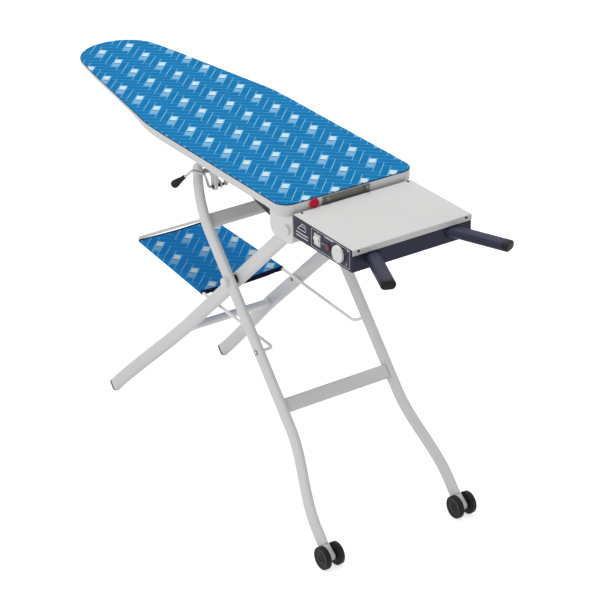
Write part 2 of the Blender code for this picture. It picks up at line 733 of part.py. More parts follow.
def make_cover():
    """The blue cover, drawn over the pad's rounded edge with a short skirt."""
    bm = bmesh.new()
    bottom = BOARD_HEIGHT - SKIRT_HEIGHT
    shoulder = BOARD_HEIGHT - COVER_EDGE
    add_slab(bm, (
        (outline(COVER_THICKNESS + COVER_EDGE), level(COVER_BOTTOM)),
        (outline(COVER_THICKNESS), level(COVER_BOTTOM - COVER_EDGE)),
        (outline(COVER_THICKNESS), level(bottom)),
        (outline(0), level(bottom)),
        (outline(0), level(shoulder)),
        (outline(COVER_EDGE * (1 - math.cos(math.radians(45)))),
         level(shoulder + COVER_EDGE * math.sin(math.radians(45)))),
        (outline(COVER_EDGE), level(BOARD_HEIGHT)),
    ))
    return finish(bm, "board_cover", "cover_fabric")


def make_heater():
    """A tubular heating element laid in long runs against the plate's underside."""
    bm = bmesh.new()
    z = PLATE_BOTTOM - GAP - HEATER_RADIUS
    first_y = -HEATER_PITCH * (HEATER_RUNS - 1) / 2
    route = []
    for run in range(HEATER_RUNS):
        ends = [END_X - HEATER_START, END_X - HEATER_END]
        if run % 2:
            ends.reverse()
        route += [Vector((x, first_y + run * HEATER_PITCH, z)) for x in ends]
    add_wire(bm, rounded(route, HEATER_PITCH / 2, 4), HEATER_RADIUS, 6)
    return finish(bm, "heating_element", "zinc_steel")


# The suction duct and its fan

def add_duct_body(bm, inset, raised):
    """The duct's shape drawn in by an inset, up to the tray or past it: level, then rising to its end."""
    x1 = END_X - DUCT_START - inset
    x0 = END_X - DUCT_END + inset
    half = DUCT_HALF_WIDTH - inset
    tops = [(x, under_tray(x) + raised) for x in tray_stations(x1, x0)]
    slope_x = END_X - DUCT_SLOPE_START
    floor = [(x0, DUCT_FLOOR_END + inset), (slope_x, DUCT_FLOOR + inset), (x1, DUCT_FLOOR + inset)]
    add_plate(bm, [(x, -half, z) for x, z in tops + floor], ACROSS, 2 * half)


def make_blower_housing():
    """The dark duct that leads from the tray to the fan, with its outlet in the end wall."""
    bm = bmesh.new()
    add_duct_body(bm, 0, 0)
    housing = finish(bm, "blower_housing", "dark_plastic", smooth=False)
    tools = bmesh.new()
    add_duct_body(tools, DUCT_WALL, CUT)
    combine(housing, tools)
    outlet = bmesh.new()
    x = END_X - DUCT_START
    inset = GRILLE_HEIGHT / 8
    add_box(outlet, (x - CUT, -GRILLE_WIDTH / 2 + inset, TRAY_UNDERSIDE - GRILLE_DROP - GRILLE_HEIGHT + inset),
            (x + CUT, GRILLE_WIDTH / 2 - inset, TRAY_UNDERSIDE - GRILLE_DROP - inset))
    return combine(housing, outlet)


def make_outlet_grille():
    """A slotted plate over the duct's outlet."""
    bm = bmesh.new()
    x = END_X - DUCT_START + GAP
    z = TRAY_UNDERSIDE - GRILLE_DROP
    add_box(bm, (x, -GRILLE_WIDTH / 2, z - GRILLE_HEIGHT), (x + GRILLE_THICKNESS, GRILLE_WIDTH / 2, z))
    grille = finish(bm, "outlet_grille", "dark_plastic", smooth=False)
    tools = bmesh.new()
    pitch = GRILLE_HEIGHT / (GRILLE_SLOTS + 1)
    half = GRILLE_WIDTH / 2 - pitch * 1.5
    for slot in range(1, GRILLE_SLOTS + 1):
        low = z - slot * pitch - GRILLE_SLOT / 2
        add_box(tools, (x - CUT, -half, low), (x + CUT, half, low + GRILLE_SLOT))
    return combine(grille, tools)


def make_fan_motor():
    """The fan's motor on its foot on the duct's floor, with its shaft."""
    fan_bottom = TRAY_UNDERSIDE - FAN_CLEARANCE - FAN_HEIGHT
    floor = DUCT_FLOOR + DUCT_WALL + GAP
    low = fan_bottom - MOTOR_CLEARANCE - MOTOR_HEIGHT
    bm = bmesh.new()
    add_turned(bm, FAN + UP * floor, UP, (
        (0, MOTOR_FOOT_RADIUS), (MOTOR_FOOT, MOTOR_FOOT_RADIUS), (MOTOR_FOOT, MOTOR_RADIUS * 0.7),
        (low - floor, MOTOR_RADIUS * 0.7), (low - floor, MOTOR_RADIUS),
        (low - floor + MOTOR_HEIGHT * 0.92, MOTOR_RADIUS), (low - floor + MOTOR_HEIGHT, MOTOR_RADIUS * 0.85),
        (low - floor + MOTOR_HEIGHT, MOTOR_SHAFT_RADIUS),
        (fan_bottom + FAN_HEIGHT / 2 - floor, MOTOR_SHAFT_RADIUS)), 16)
    return finish(bm, "fan_motor", "dark_plastic")


def make_fan_wheel():
    """The suction fan: a disc with a hub and upright blades."""
    bottom = TRAY_UNDERSIDE - FAN_CLEARANCE - FAN_HEIGHT
    pivot = joint_empty("fan_axis", FAN + UP * bottom)
    bm = bmesh.new()
    add_turned(bm, FAN + UP * bottom, UP, (
        (0, FAN_RADIUS), (FAN_DISC, FAN_RADIUS), (FAN_DISC, FAN_HUB_RADIUS), (FAN_HEIGHT, FAN_HUB_RADIUS)), 20)
    fan = finish(bm, "suction_fan", "black_plastic", pivot)
    blades = bmesh.new()
    half = FAN_BLADE_THICKNESS / 2
    root = Vector((FAN_HUB_RADIUS * 0.8, 0, 0))
    tip = Vector((FAN_RADIUS * 0.97, FAN_RADIUS * 0.3, 0))
    for blade in range(FAN_BLADES):
        turn = Matrix.Rotation(2 * math.pi * blade / FAN_BLADES, 4, "Z")
        base = FAN + UP * (bottom + FAN_DISC / 2)
        ring = [base + turn @ (point + ACROSS * lean) for point, lean in (
            (root, -half), (tip, -half), (tip, half), (root, half))]
        add_plate(blades, ring, UP, FAN_HEIGHT - FAN_DISC)
    combine(fan, blades, "UNION")
    bore = bmesh.new()
    add_rod(bore, FAN + UP * (bottom - CUT), UP, FAN_HEIGHT / 2 + CUT + PLAY, MOTOR_SHAFT_RADIUS + GAP, 16)
    return combine(fan, bore)


# The iron rest

def make_rest_housing():
    """The navy box under the rest's lid, open for the arms, the controls, the button and the bars."""
    bm = bmesh.new()
    top = LID_BOTTOM - GAP
    add_box(bm, (REST_X, -REST_SIDE, REST_BOTTOM), (REST_FRONT, REST_SIDE, top))
    housing = finish(bm, "rest_housing", "navy_paint", smooth=False)
    inside = bmesh.new()
    add_box(inside, (REST_X + REST_WALL, -REST_SIDE + REST_WALL, REST_BOTTOM + REST_WALL),
            (REST_FRONT - REST_WALL, REST_SIDE - REST_WALL, REST_TOP + CUT))
    combine(housing, inside)
    tools = bmesh.new()
    for _, side in SIDES:
        start, along, wide = arm_line(side)
        add_sweep(tools, [start - along * CUT * 2, start + along * CUT * 2], wide,
                  ARM_WIDTH + 2 * PLAY, ARM_THICKNESS + 2 * PLAY, steps=ARM_STEPS)
        y = side * SUPPORT_BAR_Y
        z = support_bar_top()
        half = SUPPORT_BAR_WIDTH / 2 + GAP
        add_box(tools, (REST_X - CUT, y - half, z - SUPPORT_BAR_HEIGHT - GAP), (REST_X + CUT, y + half, z + GAP))
    near = -REST_SIDE
    add_box(tools, (ROCKER_X - ROCKER_LENGTH / 2 - GAP, near - CUT, CONTROL_Z - ROCKER_HEIGHT / 2 - GAP),
            (ROCKER_X + ROCKER_LENGTH / 2 + GAP, near + CUT, CONTROL_Z + ROCKER_HEIGHT / 2 + GAP))
    add_rod(tools, (LAMP_X, near - CUT, LAMP_Z), ACROSS, 2 * CUT, LAMP_RADIUS + GAP, 16)
    add_rod(tools, (KNOB_X, near - CUT, CONTROL_Z), ACROSS, 2 * CUT, KNOB_SHAFT_RADIUS + PLAY, 16)
    add_rod(tools, (GLAND_X, REST_SIDE - CUT, CONTROL_Z), ACROSS, 2 * CUT, GLAND_RADIUS * 0.7 + GAP, 16)
    return combine(housing, tools)


def make_rest_lid():
    """The light grey steel lid, its front edge bent down over the box, with its screws' heads."""
    bm = bmesh.new()
    front = REST_FRONT + GAP + LID_THICKNESS
    profile = ((REST_X, LID_BOTTOM), (REST_FRONT + GAP, LID_BOTTOM), (REST_FRONT + GAP, REST_TOP - LID_LIP),
               (front, REST_TOP - LID_LIP), (front, REST_TOP - LID_THICKNESS), (front - LID_THICKNESS, REST_TOP),
               (REST_X, REST_TOP))
    add_plate(bm, [(x, -REST_SIDE, z) for x, z in profile], ACROSS, REST_WIDTH)
    lid = finish(bm, "rest_lid", "grey_paint", smooth=False)
    heads = bmesh.new()
    for place, axis in lid_screw_places():
        add_head(heads, place - axis * LID_THICKNESS / 2, axis, LID_SCREW_RADIUS, LID_THICKNESS / 2)
    return combine(lid, heads, "UNION")


def lid_screw_places():
    """Each lid screw's head seat and the direction its head faces."""
    places = []
    y = REST_SIDE - LID_SCREW_INSET
    for side in (-1, 1):
        places.append((Vector((REST_X + LID_SCREW_INSET, side * y, REST_TOP)), UP))
        places.append((Vector((REST_FRONT + GAP + LID_THICKNESS, side * y, REST_TOP - LID_LIP / 2)), ALONG_X))
    return places


def add_head(bm, seat, axis, radius, sunk):
    """A screw's domed head, set into its plate."""
    add_turned(bm, seat, axis, (
        (0, radius), (sunk + radius * 0.35, radius * 0.95), (sunk + radius * 0.55, radius * 0.6)), 12)


def arm_line(side):
    """Where an arm's axis meets the rest's front, its outward direction and its wide direction."""
    along = Vector((math.cos(ARM_SPLAY), side * math.sin(ARM_SPLAY), 0))
    start = Vector((REST_FRONT, side * ARM_SPREAD, ARM_Z))
    return start, along, Vector((-along.y, along.x, 0))


def make_support_arm(name, side):
    """A navy oval tube that slides out of the rest, with a black cap plugged in its end."""
    start, along, wide = arm_line(side)
    pivot = joint_empty(f"{name}_arm_slide", start)
    bm = bmesh.new()
    tube_end = start + along * (ARM_REACH - ARM_CAP_LENGTH)
    add_sweep(bm, [start - along * ARM_HELD, tube_end], wide, ARM_WIDTH, ARM_THICKNESS, ARM_WALL, ARM_STEPS)
    finish(bm, f"support_arm_{name}", "navy_paint", pivot)
    cap = bmesh.new()
    plug_width = ARM_WIDTH - 2 * (ARM_WALL + GAP)
    plug_thickness = ARM_THICKNESS - 2 * (ARM_WALL + GAP)
    rings = []
    for along_axis, width, thickness in (
            (-ARM_CAP_PLUG, plug_width, plug_thickness), (GAP, plug_width, plug_thickness),
            (GAP, ARM_WIDTH, ARM_THICKNESS), (ARM_CAP_LENGTH - ARM_CAP_BEVEL, ARM_WIDTH, ARM_THICKNESS),
            (ARM_CAP_LENGTH, ARM_WIDTH - 2 * ARM_CAP_BEVEL, ARM_THICKNESS - 2 * ARM_CAP_BEVEL)):
        middle = tube_end + along * along_axis
        rings.append([middle + wide * a + UP * b for a, b in flat_oval(width, thickness, ARM_STEPS)])
    add_loft(cap, rings)
    return finish(cap, f"arm_cap_{name}", "black_plastic", pivot)


def make_arm_guide():
    """A cross wall inside the rest, with an oval hole for each arm."""
    bm = bmesh.new()
    x = REST_FRONT - ARM_GUIDE_INSET
    floor = REST_BOTTOM + REST_WALL + GAP
    half = REST_SIDE - REST_WALL * 3
    add_box(bm, (x, -half, floor), (x + ARM_GUIDE_THICKNESS, half, LID_BOTTOM - GAP))
    guide = finish(bm, "arm_guide", "zinc_steel", smooth=False)
    tools = bmesh.new()
    for _, side in SIDES:
        start, along, wide = arm_line(side)
        middle = start - along * (ARM_GUIDE_INSET / math.cos(ARM_SPLAY))
        add_sweep(tools, [middle - along * CUT * 2, middle + along * CUT * 2], wide,
                  ARM_WIDTH + 2 * PLAY, ARM_THICKNESS + 2 * PLAY, steps=ARM_STEPS)
    return combine(guide, tools)


# The controls

def make_control_panel():
    """The plate round the switch, lamp and knob on the rest's near side."""
    bm = bmesh.new()
    x1 = REST_FRONT - PANEL_END_MARGIN
    y = -REST_SIDE - GAP
    add_box(bm, (x1 - PANEL_LENGTH, y - PANEL_THICKNESS, PANEL_Z - PANEL_HEIGHT / 2),
            (x1, y, PANEL_Z + PANEL_HEIGHT / 2))
    panel = finish(bm, "control_panel", "navy_paint", smooth=False)
    tools = bmesh.new()
    add_box(tools, (ROCKER_X - ROCKER_LENGTH / 2 - GAP, y - CUT, CONTROL_Z - ROCKER_HEIGHT / 2 - GAP),
            (ROCKER_X + ROCKER_LENGTH / 2 + GAP, y + CUT, CONTROL_Z + ROCKER_HEIGHT / 2 + GAP))
    add_rod(tools, (LAMP_X, y - CUT, LAMP_Z), ACROSS, 2 * CUT, LAMP_RADIUS + GAP, 16)
    add_rod(tools, (KNOB_X, y - CUT, CONTROL_Z), ACROSS, 2 * CUT, KNOB_SHAFT_RADIUS + PLAY, 16)
    return combine(panel, tools)


def rocker_pivot():
    """The rocker turns about an axis along X, just behind the panel."""
    return Vector((ROCKER_X, -REST_SIDE + ROCKER_DEPTH / 2, CONTROL_Z))


def make_switch_body():
    """The switch's housing behind the panel, with a window for its rocker."""
    bm = bmesh.new()
    face = -REST_SIDE - GAP - PANEL_THICKNESS
    half_x = ROCKER_LENGTH / 2
    half_z = ROCKER_HEIGHT / 2
    x = ROCKER_X
    add_box(bm, (x - half_x, face, CONTROL_Z - half_z),
            (x + half_x, -REST_SIDE + SWITCH_DEPTH, CONTROL_Z + half_z))
    body = finish(bm, "switch_body", "white_plastic", smooth=False)
    tools = bmesh.new()
    room = ROCKER_FRAME
    add_box(tools, (x - half_x + room, face - CUT, CONTROL_Z - half_z + room),
            (x + half_x - room, -REST_SIDE + ROCKER_DEPTH + ROCKER_FRAME, CONTROL_Z + half_z - room))
    combine(body, tools)
    pivots = bmesh.new()
    reach = half_x - room + GAP
    for side in (-1, 1):
        place = rocker_pivot() + ALONG_X * side * (reach - GAP * 4)
        add_rod(pivots, place, ALONG_X * side, GAP * 5 + room / 2, ROCKER_FRAME / 2, 10)
    return combine(body, pivots, "UNION")


def make_rocker():
    """The white rocker; its upper half stands out, its lower half is pressed in."""
    pivot_place = rocker_pivot()
    pivot = joint_empty("rocker_axis", pivot_place)
    half_z = ROCKER_HEIGHT / 2 - ROCKER_FRAME - PLAY * 2
    half_x = ROCKER_LENGTH / 2 - ROCKER_FRAME - PLAY
    face = -REST_SIDE - GAP - PANEL_THICKNESS
    proud = face - ROCKER_PROUD
    back = pivot_place.y + ROCKER_FRAME
    profile = ((back, -half_z * 0.45), (face + ROCKER_PROUD, -half_z), (face - ROCKER_PROUD * 0.1, -half_z * 0.95),
               (face - ROCKER_PROUD * 0.4, -half_z * 0.3), (face - ROCKER_PROUD * 0.8, half_z * 0.1),
               (proud, half_z * 0.42), (face - ROCKER_PROUD * 0.3, half_z * 0.88),
               (face + ROCKER_PROUD, half_z), (back, half_z * 0.45))
    bm = bmesh.new()
    x = pivot_place.x
    add_plate(bm, [(x - half_x, y, CONTROL_Z + z) for y, z in profile], ALONG_X, 2 * half_x)
    rocker = finish(bm, "switch_rocker", "white_plastic", pivot, smooth=False)
    tools = bmesh.new()
    add_rod(tools, pivot_place - ALONG_X * CUT, ALONG_X, 2 * CUT, ROCKER_FRAME / 2 + GAP, 12)
    return combine(rocker, tools)


def make_pilot_lamp():
    """The red pilot lamp."""
    bm = bmesh.new()
    face = -REST_SIDE - GAP - PANEL_THICKNESS
    place = Vector((LAMP_X, -REST_SIDE + LAMP_DEPTH, LAMP_Z))
    depth = place.y - face
    add_turned(bm, place, -ACROSS, (
        (0, LAMP_RADIUS), (depth + LAMP_PROUD * 0.4, LAMP_RADIUS), (depth + LAMP_PROUD, LAMP_RADIUS * 0.6)), 20)
    return finish(bm, "pilot_lamp", "lamp_lens")


def make_knob():
    """The round temperature knob with its shaft."""
    face = -REST_SIDE - GAP - PANEL_THICKNESS
    pivot = joint_empty("knob_axis", (KNOB_X, face, CONTROL_Z))
    start = Vector((KNOB_X, -REST_SIDE + REST_WALL + PLAY, CONTROL_Z))
    reach = start.y - face + PLAY
    bm = bmesh.new()
    add_turned(bm, start, -ACROSS, (
        (0, KNOB_SHAFT_RADIUS), (reach, KNOB_SHAFT_RADIUS), (reach, KNOB_RADIUS),
        (reach + KNOB_HEIGHT * 0.3, KNOB_RADIUS), (reach + KNOB_HEIGHT * 0.9, KNOB_RADIUS * 0.93),
        (reach + KNOB_HEIGHT, KNOB_RADIUS * 0.86)), 24)
    return finish(bm, "thermostat_knob", "white_plastic", pivot)


def make_thermostat():
    """The thermostat behind the knob, fixed to the rest's side wall."""
    bm = bmesh.new()
    half = THERMOSTAT_SIZE / 2
    y = -REST_SIDE + REST_WALL + GAP
    add_box(bm, (KNOB_X - half, y, CONTROL_Z - half * 0.9),
            (KNOB_X + half, y + THERMOSTAT_DEPTH, CONTROL_Z + half * 0.9))
    body = finish(bm, "thermostat", "dark_plastic", smooth=False)
    tools = bmesh.new()
    add_rod(tools, (KNOB_X, y - CUT, CONTROL_Z), ACROSS, CUT + THERMOSTAT_DEPTH / 2,
            KNOB_SHAFT_RADIUS + PLAY, 16)
    return combine(body, tools)


def make_mains_inlet():
    """The strain relief for the mains lead on the rest's far side; the lead itself isn't modelled."""
    bm = bmesh.new()
    inner = REST_SIDE - REST_WALL - GAP * 4
    place = Vector((GLAND_X, inner, CONTROL_Z))
    wall = REST_SIDE + GAP - inner
    neck = GLAND_RADIUS * 0.7
    add_ring(bm, place, ACROSS, (
        (-GLAND_LENGTH * 0.2, neck), (wall, neck), (wall, GLAND_RADIUS), (wall + GLAND_LENGTH * 0.4, GLAND_RADIUS),
        (wall + GLAND_LENGTH, GLAND_RADIUS * 0.62)), GLAND_BORE, 12)
    return finish(bm, "mains_gland", "black_plastic")


# The wide end's face

def make_push_button():
    """The round red button with its stem through the tray's end wall."""
    place = Vector((END_X + TRAY_PROUD, BUTTON_Y, BOARD_HEIGHT - BUTTON_DROP))
    pivot = joint_empty("button_slide", place)
    face = BUTTON_TRAVEL + GAP
    bm = bmesh.new()
    add_turned(bm, place - ALONG_X * BUTTON_STEM, ALONG_X, (
        (0, BUTTON_STEM_RADIUS), (BUTTON_STEM + face, BUTTON_STEM_RADIUS), (BUTTON_STEM + face, BUTTON_RADIUS),
        (BUTTON_STEM + BUTTON_PROUD, BUTTON_RADIUS), (BUTTON_STEM + BUTTON_PROUD * 1.3, BUTTON_RADIUS * 0.8)), 20)
    return finish(bm, "release_button", "red_plastic", pivot)


def make_end_plate():
    """The bare steel angle screwed to the wide end's face, its foot under the rest's lid, with its screws' heads."""
    bm = bmesh.new()
    x = END_X + TRAY_PROUD + GAP
    top = BOARD_HEIGHT - END_PLATE_TOP
    add_box(bm, (x, END_PLATE_LOW_Y, top - END_PLATE_HEIGHT), (x + END_PLATE_THICKNESS, END_PLATE_HIGH_Y, top))
    plate = finish(bm, "end_plate", "zinc_steel", smooth=False)
    foot = bmesh.new()
    bottom = top - END_PLATE_HEIGHT
    add_box(foot, (x + END_PLATE_THICKNESS / 2, END_PLATE_LOW_Y, bottom),
            (REST_X - GAP, END_PLATE_HIGH_Y, bottom + END_PLATE_THICKNESS))
    combine(plate, foot, "UNION")
    heads = bmesh.new()
    half = END_PLATE_THICKNESS / 2
    for y in (END_PLATE_LOW_Y + END_SCREW_INSET, END_PLATE_HIGH_Y - END_SCREW_INSET):
        add_head(heads, Vector((x + half, y, top - END_SCREW_RADIUS * 1.7)), ALONG_X, END_SCREW_RADIUS, half)
    return combine(plate, heads, "UNION")


def support_bar_top():
    """The bars lie against the tray's underside at the wide end."""
    return BOARD_HEIGHT - TRAY_DEPTH_END - GAP


def make_rest_carrier():
    """The steel carrier of the iron rest: two bars, tied by a cross bar under the tray."""
    z = support_bar_top()
    x0 = END_X - SUPPORT_BAR_IN_BOARD
    bm = bmesh.new()
    add_box(bm, (x0, -SUPPORT_BAR_Y, z - SUPPORT_BAR_HEIGHT), (x0 + SUPPORT_BAR_WIDTH, SUPPORT_BAR_Y, z))
    carrier = finish(bm, "rest_carrier", "zinc_steel", smooth=False)
    bars = bmesh.new()
    for _, side in SIDES:
        y = side * SUPPORT_BAR_Y
        add_box(bars, (x0, y - SUPPORT_BAR_WIDTH / 2, z - SUPPORT_BAR_HEIGHT),
                (REST_X + SUPPORT_BAR_IN_REST, y + SUPPORT_BAR_WIDTH / 2, z))
    return combine(carrier, bars, "UNION")


# Hinge brackets

def make_hinge_bracket(name, side):
    """The white bracket round an inner leg's top, with two cheeks and a closed front."""
    x1 = END_X - BRACKET_FRONT
    x0 = x1 - BRACKET_LENGTH
    rear = BRACKET_ROUND * 1.2
    front = BRACKET_ROUND * 0.7
    width = BRACKET_OUTER - BRACKET_INNER
    profile = [(x, under_tray(x)) for x in tray_stations(x1, x0)]
    profile += arc((x0 + rear, BRACKET_BOTTOM + rear), rear, 180, 270, 4)
    profile += arc((x1 - front, BRACKET_BOTTOM + front), front, 270, 360, 4)
    bm = bmesh.new()
    add_plate(bm, [(x, side * BRACKET_INNER, z) for x, z in profile], ACROSS * side, width)
    bracket = finish(bm, f"hinge_bracket_{name}", "white_plastic", smooth=False)
    room = bmesh.new()
    low, high = sorted((side * (BRACKET_INNER + BRACKET_INNER_CHEEK), side * (BRACKET_OUTER - BRACKET_CHEEK)))
    add_box(room, (x0 - CUT, low, BRACKET_BOTTOM - CUT),
            (x1 - BRACKET_WEB, high, under_tray(x1) - BRACKET_TOP_WEB))
    combine(bracket, room)
    drill = bmesh.new()
    add_rod(drill, (HINGE.x, side * (BRACKET_INNER - CUT), HINGE.z), ACROSS * side, width + 2 * CUT, PIN_HOLE, 16)
    return combine(bracket, drill)


def make_hinge_pin(name, side):
    """The pin through a bracket and its leg's knuckle, with a round white cap for its head."""
    out = ACROSS * side
    start = HINGE + out * (BRACKET_INNER - GAP - AXLE_HEAD)
    head = BRACKET_OUTER - BRACKET_INNER + AXLE_HEAD + 2 * GAP
    bm = bmesh.new()
    add_turned(bm, start, out, (
        (0, PIN_RADIUS * 1.7), (AXLE_HEAD, PIN_RADIUS * 1.7), (AXLE_HEAD, PIN_RADIUS), (head, PIN_RADIUS),
        (head, HINGE_CAP_RADIUS), (head + HINGE_CAP_HEIGHT * 0.8, HINGE_CAP_RADIUS * 0.97),
        (head + HINGE_CAP_HEIGHT, HINGE_CAP_RADIUS * 0.85)), 16)
    return finish(bm, f"hinge_pin_{name}", "white_plastic")


# The inner frame on feet

def feet_leg_point(side, down):
    """A point on an inner leg's middle line."""
    spread = FEET_SPREAD_TOP + (FEET_SPREAD_FLOOR - FEET_SPREAD_TOP) * ease(
        (down - FEET_BEND_START) / (FEET_BEND_END - FEET_BEND_START))
    return HINGE + FEET_DOWN * down + ACROSS * side * spread


def feet_leg_route(side):
    """An inner leg's middle line, from its top to its end."""
    bend = [FEET_BEND_START + (FEET_BEND_END - FEET_BEND_START) * step / 6 for step in range(7)]
    return [feet_leg_point(side, down) for down in (FEET_TUBE_TOP, *bend, FEET_TUBE_END)]


def make_feet_leg(name, side, parent):
    """An inner leg: straight down to its outward sweep, with the stud that carries the shelf."""
    bm = bmesh.new()
    add_sweep(bm, feet_leg_route(side), FEET_ACROSS, TUBE_WIDTH, TUBE_THICKNESS, TUBE_WALL)
    leg = finish(bm, f"feet_leg_{name}", "white_paint", parent)
    tools = bmesh.new()
    add_rod(tools, SCISSOR + ACROSS * side * (FEET_LEG_INNER - CUT), ACROSS * side, TUBE_THICKNESS + 2 * CUT,
            PIN_HOLE, 16)
    combine(leg, tools)
    stud = bmesh.new()
    wall = TUBE_WALL / 2
    length = wall + PEG_LENGTH
    add_turned(stud, peg_place() + ACROSS * side * (FEET_LEG_INNER + wall), ACROSS * -side, (
        (0, PEG_RADIUS), (length, PEG_RADIUS), (length, PEG_RADIUS * 1.35),
        (length + PEG_HEAD, PEG_RADIUS * 1.2)), 14)
    return combine(leg, stud, "UNION")


def make_knuckle(name, side, parent):
    """The plastic end in an inner leg's top, with the eye for the hinge pin."""
    half = KNUCKLE_THICKNESS / 2
    plug_half = TUBE_WIDTH / 2 - TUBE_THICKNESS / 4
    inset = 2 * (TUBE_WALL + GAP)
    end = FEET_TUBE_TOP - GAP
    middle = HINGE + ACROSS * side * FEET_SPREAD_TOP
    low = middle - ACROSS * half
    points = [(b, a) for a, b in arc((0, 0), KNUCKLE_RADIUS, 0, -180, 8)] + [(end, -plug_half), (end, plug_half)]
    eye = bmesh.new()
    add_plate(eye, [low + FEET_DOWN * down + FEET_ACROSS * across for down, across in points],
              ACROSS, KNUCKLE_THICKNESS)
    knuckle = finish(eye, f"leg_knuckle_{name}", "white_plastic", parent)
    spigot = bmesh.new()
    add_sweep(spigot, [middle + FEET_DOWN * (FEET_TUBE_TOP - KNUCKLE_PLUG / 3),
                       middle + FEET_DOWN * (FEET_TUBE_TOP + KNUCKLE_PLUG)], FEET_ACROSS,
              TUBE_WIDTH - inset, TUBE_THICKNESS - inset)
    combine(knuckle, spigot, "UNION")
    drill = bmesh.new()
    add_rod(drill, low - ACROSS * CUT, ACROSS, KNUCKLE_THICKNESS + 2 * CUT, PIN_HOLE, 16)
    return combine(knuckle, drill)


def add_crossbar(bm, middle, wide, half):
    """A length of leg tube across the table."""
    add_sweep(bm, [middle - ACROSS * half, middle + ACROSS * half], wide, TUBE_WIDTH, TUBE_THICKNESS, TUBE_WALL)


def make_feet_crossbar(parent):
    """The bar between the inner legs, its wide side along them."""
    bm = bmesh.new()
    middle = HINGE + FEET_DOWN * FEET_BAR
    spread = feet_leg_point(1, FEET_BAR).y - TUBE_THICKNESS / 2 - GAP * 2
    add_crossbar(bm, middle, FEET_DOWN, spread)
    return finish(bm, "feet_crossbar", "white_paint", parent)


def make_foot_cap(name, side, parent):
    """A black rubber cap over an inner leg's end, flat where it stands on the floor."""
    grow = 2 * (FOOT_WALL + GAP)
    route = feet_leg_route(side)
    before, bend, end = route[-3:]
    cuff = bend - (bend - before).normalized() * (FOOT_CUFF - (end - bend).length)
    bm = bmesh.new()
    add_sweep(bm, [cuff, bend, end, feet_leg_point(side, FOOT_END)], FEET_ACROSS,
              TUBE_WIDTH + grow, TUBE_THICKNESS + grow)
    bmesh.ops.bisect_plane(bm, geom=bm.verts[:] + bm.edges[:] + bm.faces[:], plane_co=(0, 0, 0),
                           plane_no=(0, 0, -1), clear_outer=True)
    bmesh.ops.holes_fill(bm, edges=[edge for edge in bm.edges if edge.is_boundary], sides=0)
    socket = bmesh.new()
    add_sweep(socket, [*route[-4:-1], end + (end - bend).normalized() * GAP], FEET_ACROSS,
              TUBE_WIDTH + 2 * GAP, TUBE_THICKNESS + 2 * GAP)
    return combine(finish(bm, f"foot_cap_{name}", "black_plastic", parent), socket)


def peg_place():
    """Where a peg under the shelf's wire crosses the inner leg's middle line."""
    start = SHELF_HINGE - SHELF_UP * (WIRE_RADIUS + PEG_RADIUS + PEG_GAP)
    offset = HINGE - start
    cross = SHELF_OUT.x * FEET_DOWN.z - SHELF_OUT.z * FEET_DOWN.x
    return start + SHELF_OUT * ((offset.x * FEET_DOWN.z - offset.z * FEET_DOWN.x) / cross)


# The outer frame on wheels

def wheel_leg_point(side, down):
    """A point on an outer leg's middle line; down is measured from the scissor's pivot."""
    spread = WHEEL_SPREAD_TOP + (WHEEL_SPREAD_FLOOR - WHEEL_SPREAD_TOP) * ease(
        (down - WHEEL_BEND_START) / (WHEEL_BEND_END - WHEEL_BEND_START))
    above = -down - TOP_BEND_START
    if above > 0:
        spread -= above ** 2 / (2 * TOP_BEND_RADIUS)
    return SCISSOR + WHEEL_DOWN * down + ACROSS * side * spread


def make_wheel_leg(name, side, parent):
    """An outer leg: drawn in under the board, straight, then swept out to its wheels."""
    bm = bmesh.new()
    top = [-WHEEL_TUBE_TOP + (WHEEL_TUBE_TOP - TOP_BEND_START) * step / 5 for step in range(6)]
    bend = [WHEEL_BEND_START + (WHEEL_BEND_END - WHEEL_BEND_START) * step / 6 for step in range(7)]
    stations = top + bend + [AXLE_DISTANCE - LEG_END_TUBE]
    add_sweep(bm, [wheel_leg_point(side, down) for down in stations], WHEEL_ACROSS,
              TUBE_WIDTH, TUBE_THICKNESS, TUBE_WALL)
    leg = finish(bm, f"wheel_leg_{name}", "white_paint", parent)
    tools = bmesh.new()
    for place, radius in ((SCISSOR, PIN_HOLE), (SHELF_HINGE, WIRE_RADIUS + PIN_CLEARANCE)):
        add_rod(tools, place + ACROSS * side * (WHEEL_LEG_INNER - CUT), ACROSS * side, TUBE_THICKNESS + 2 * CUT,
                radius, 16)
    return combine(leg, tools)


def between_wheel_legs(down, reach):
    """Half the room between the outer legs for a bar that reaches this far along them."""
    lean = max(-down - TOP_BEND_START, 0) / TOP_BEND_RADIUS
    face = TUBE_THICKNESS / 2 * math.hypot(1, lean)
    return wheel_leg_point(1, down).y - face - reach * lean - 3 * GAP


def make_wheel_crossbar(name, down, parent):
    """A bar between the outer legs, its wide side along them."""
    bm = bmesh.new()
    add_crossbar(bm, SCISSOR + WHEEL_DOWN * down, WHEEL_DOWN, between_wheel_legs(down, TUBE_WIDTH / 2))
    return finish(bm, name, "white_paint", parent)


def make_slide_bar(parent):
    """The round bar between the outer legs' tops, which runs under the rails."""
    bm = bmesh.new()
    half = between_wheel_legs(-SLIDE_BAR, SLIDE_BAR_RADIUS)
    add_rod(bm, SLIDE - ACROSS * half, ACROSS, 2 * half, SLIDE_BAR_RADIUS, 16)
    return finish(bm, "slide_bar", "zinc_steel", parent)


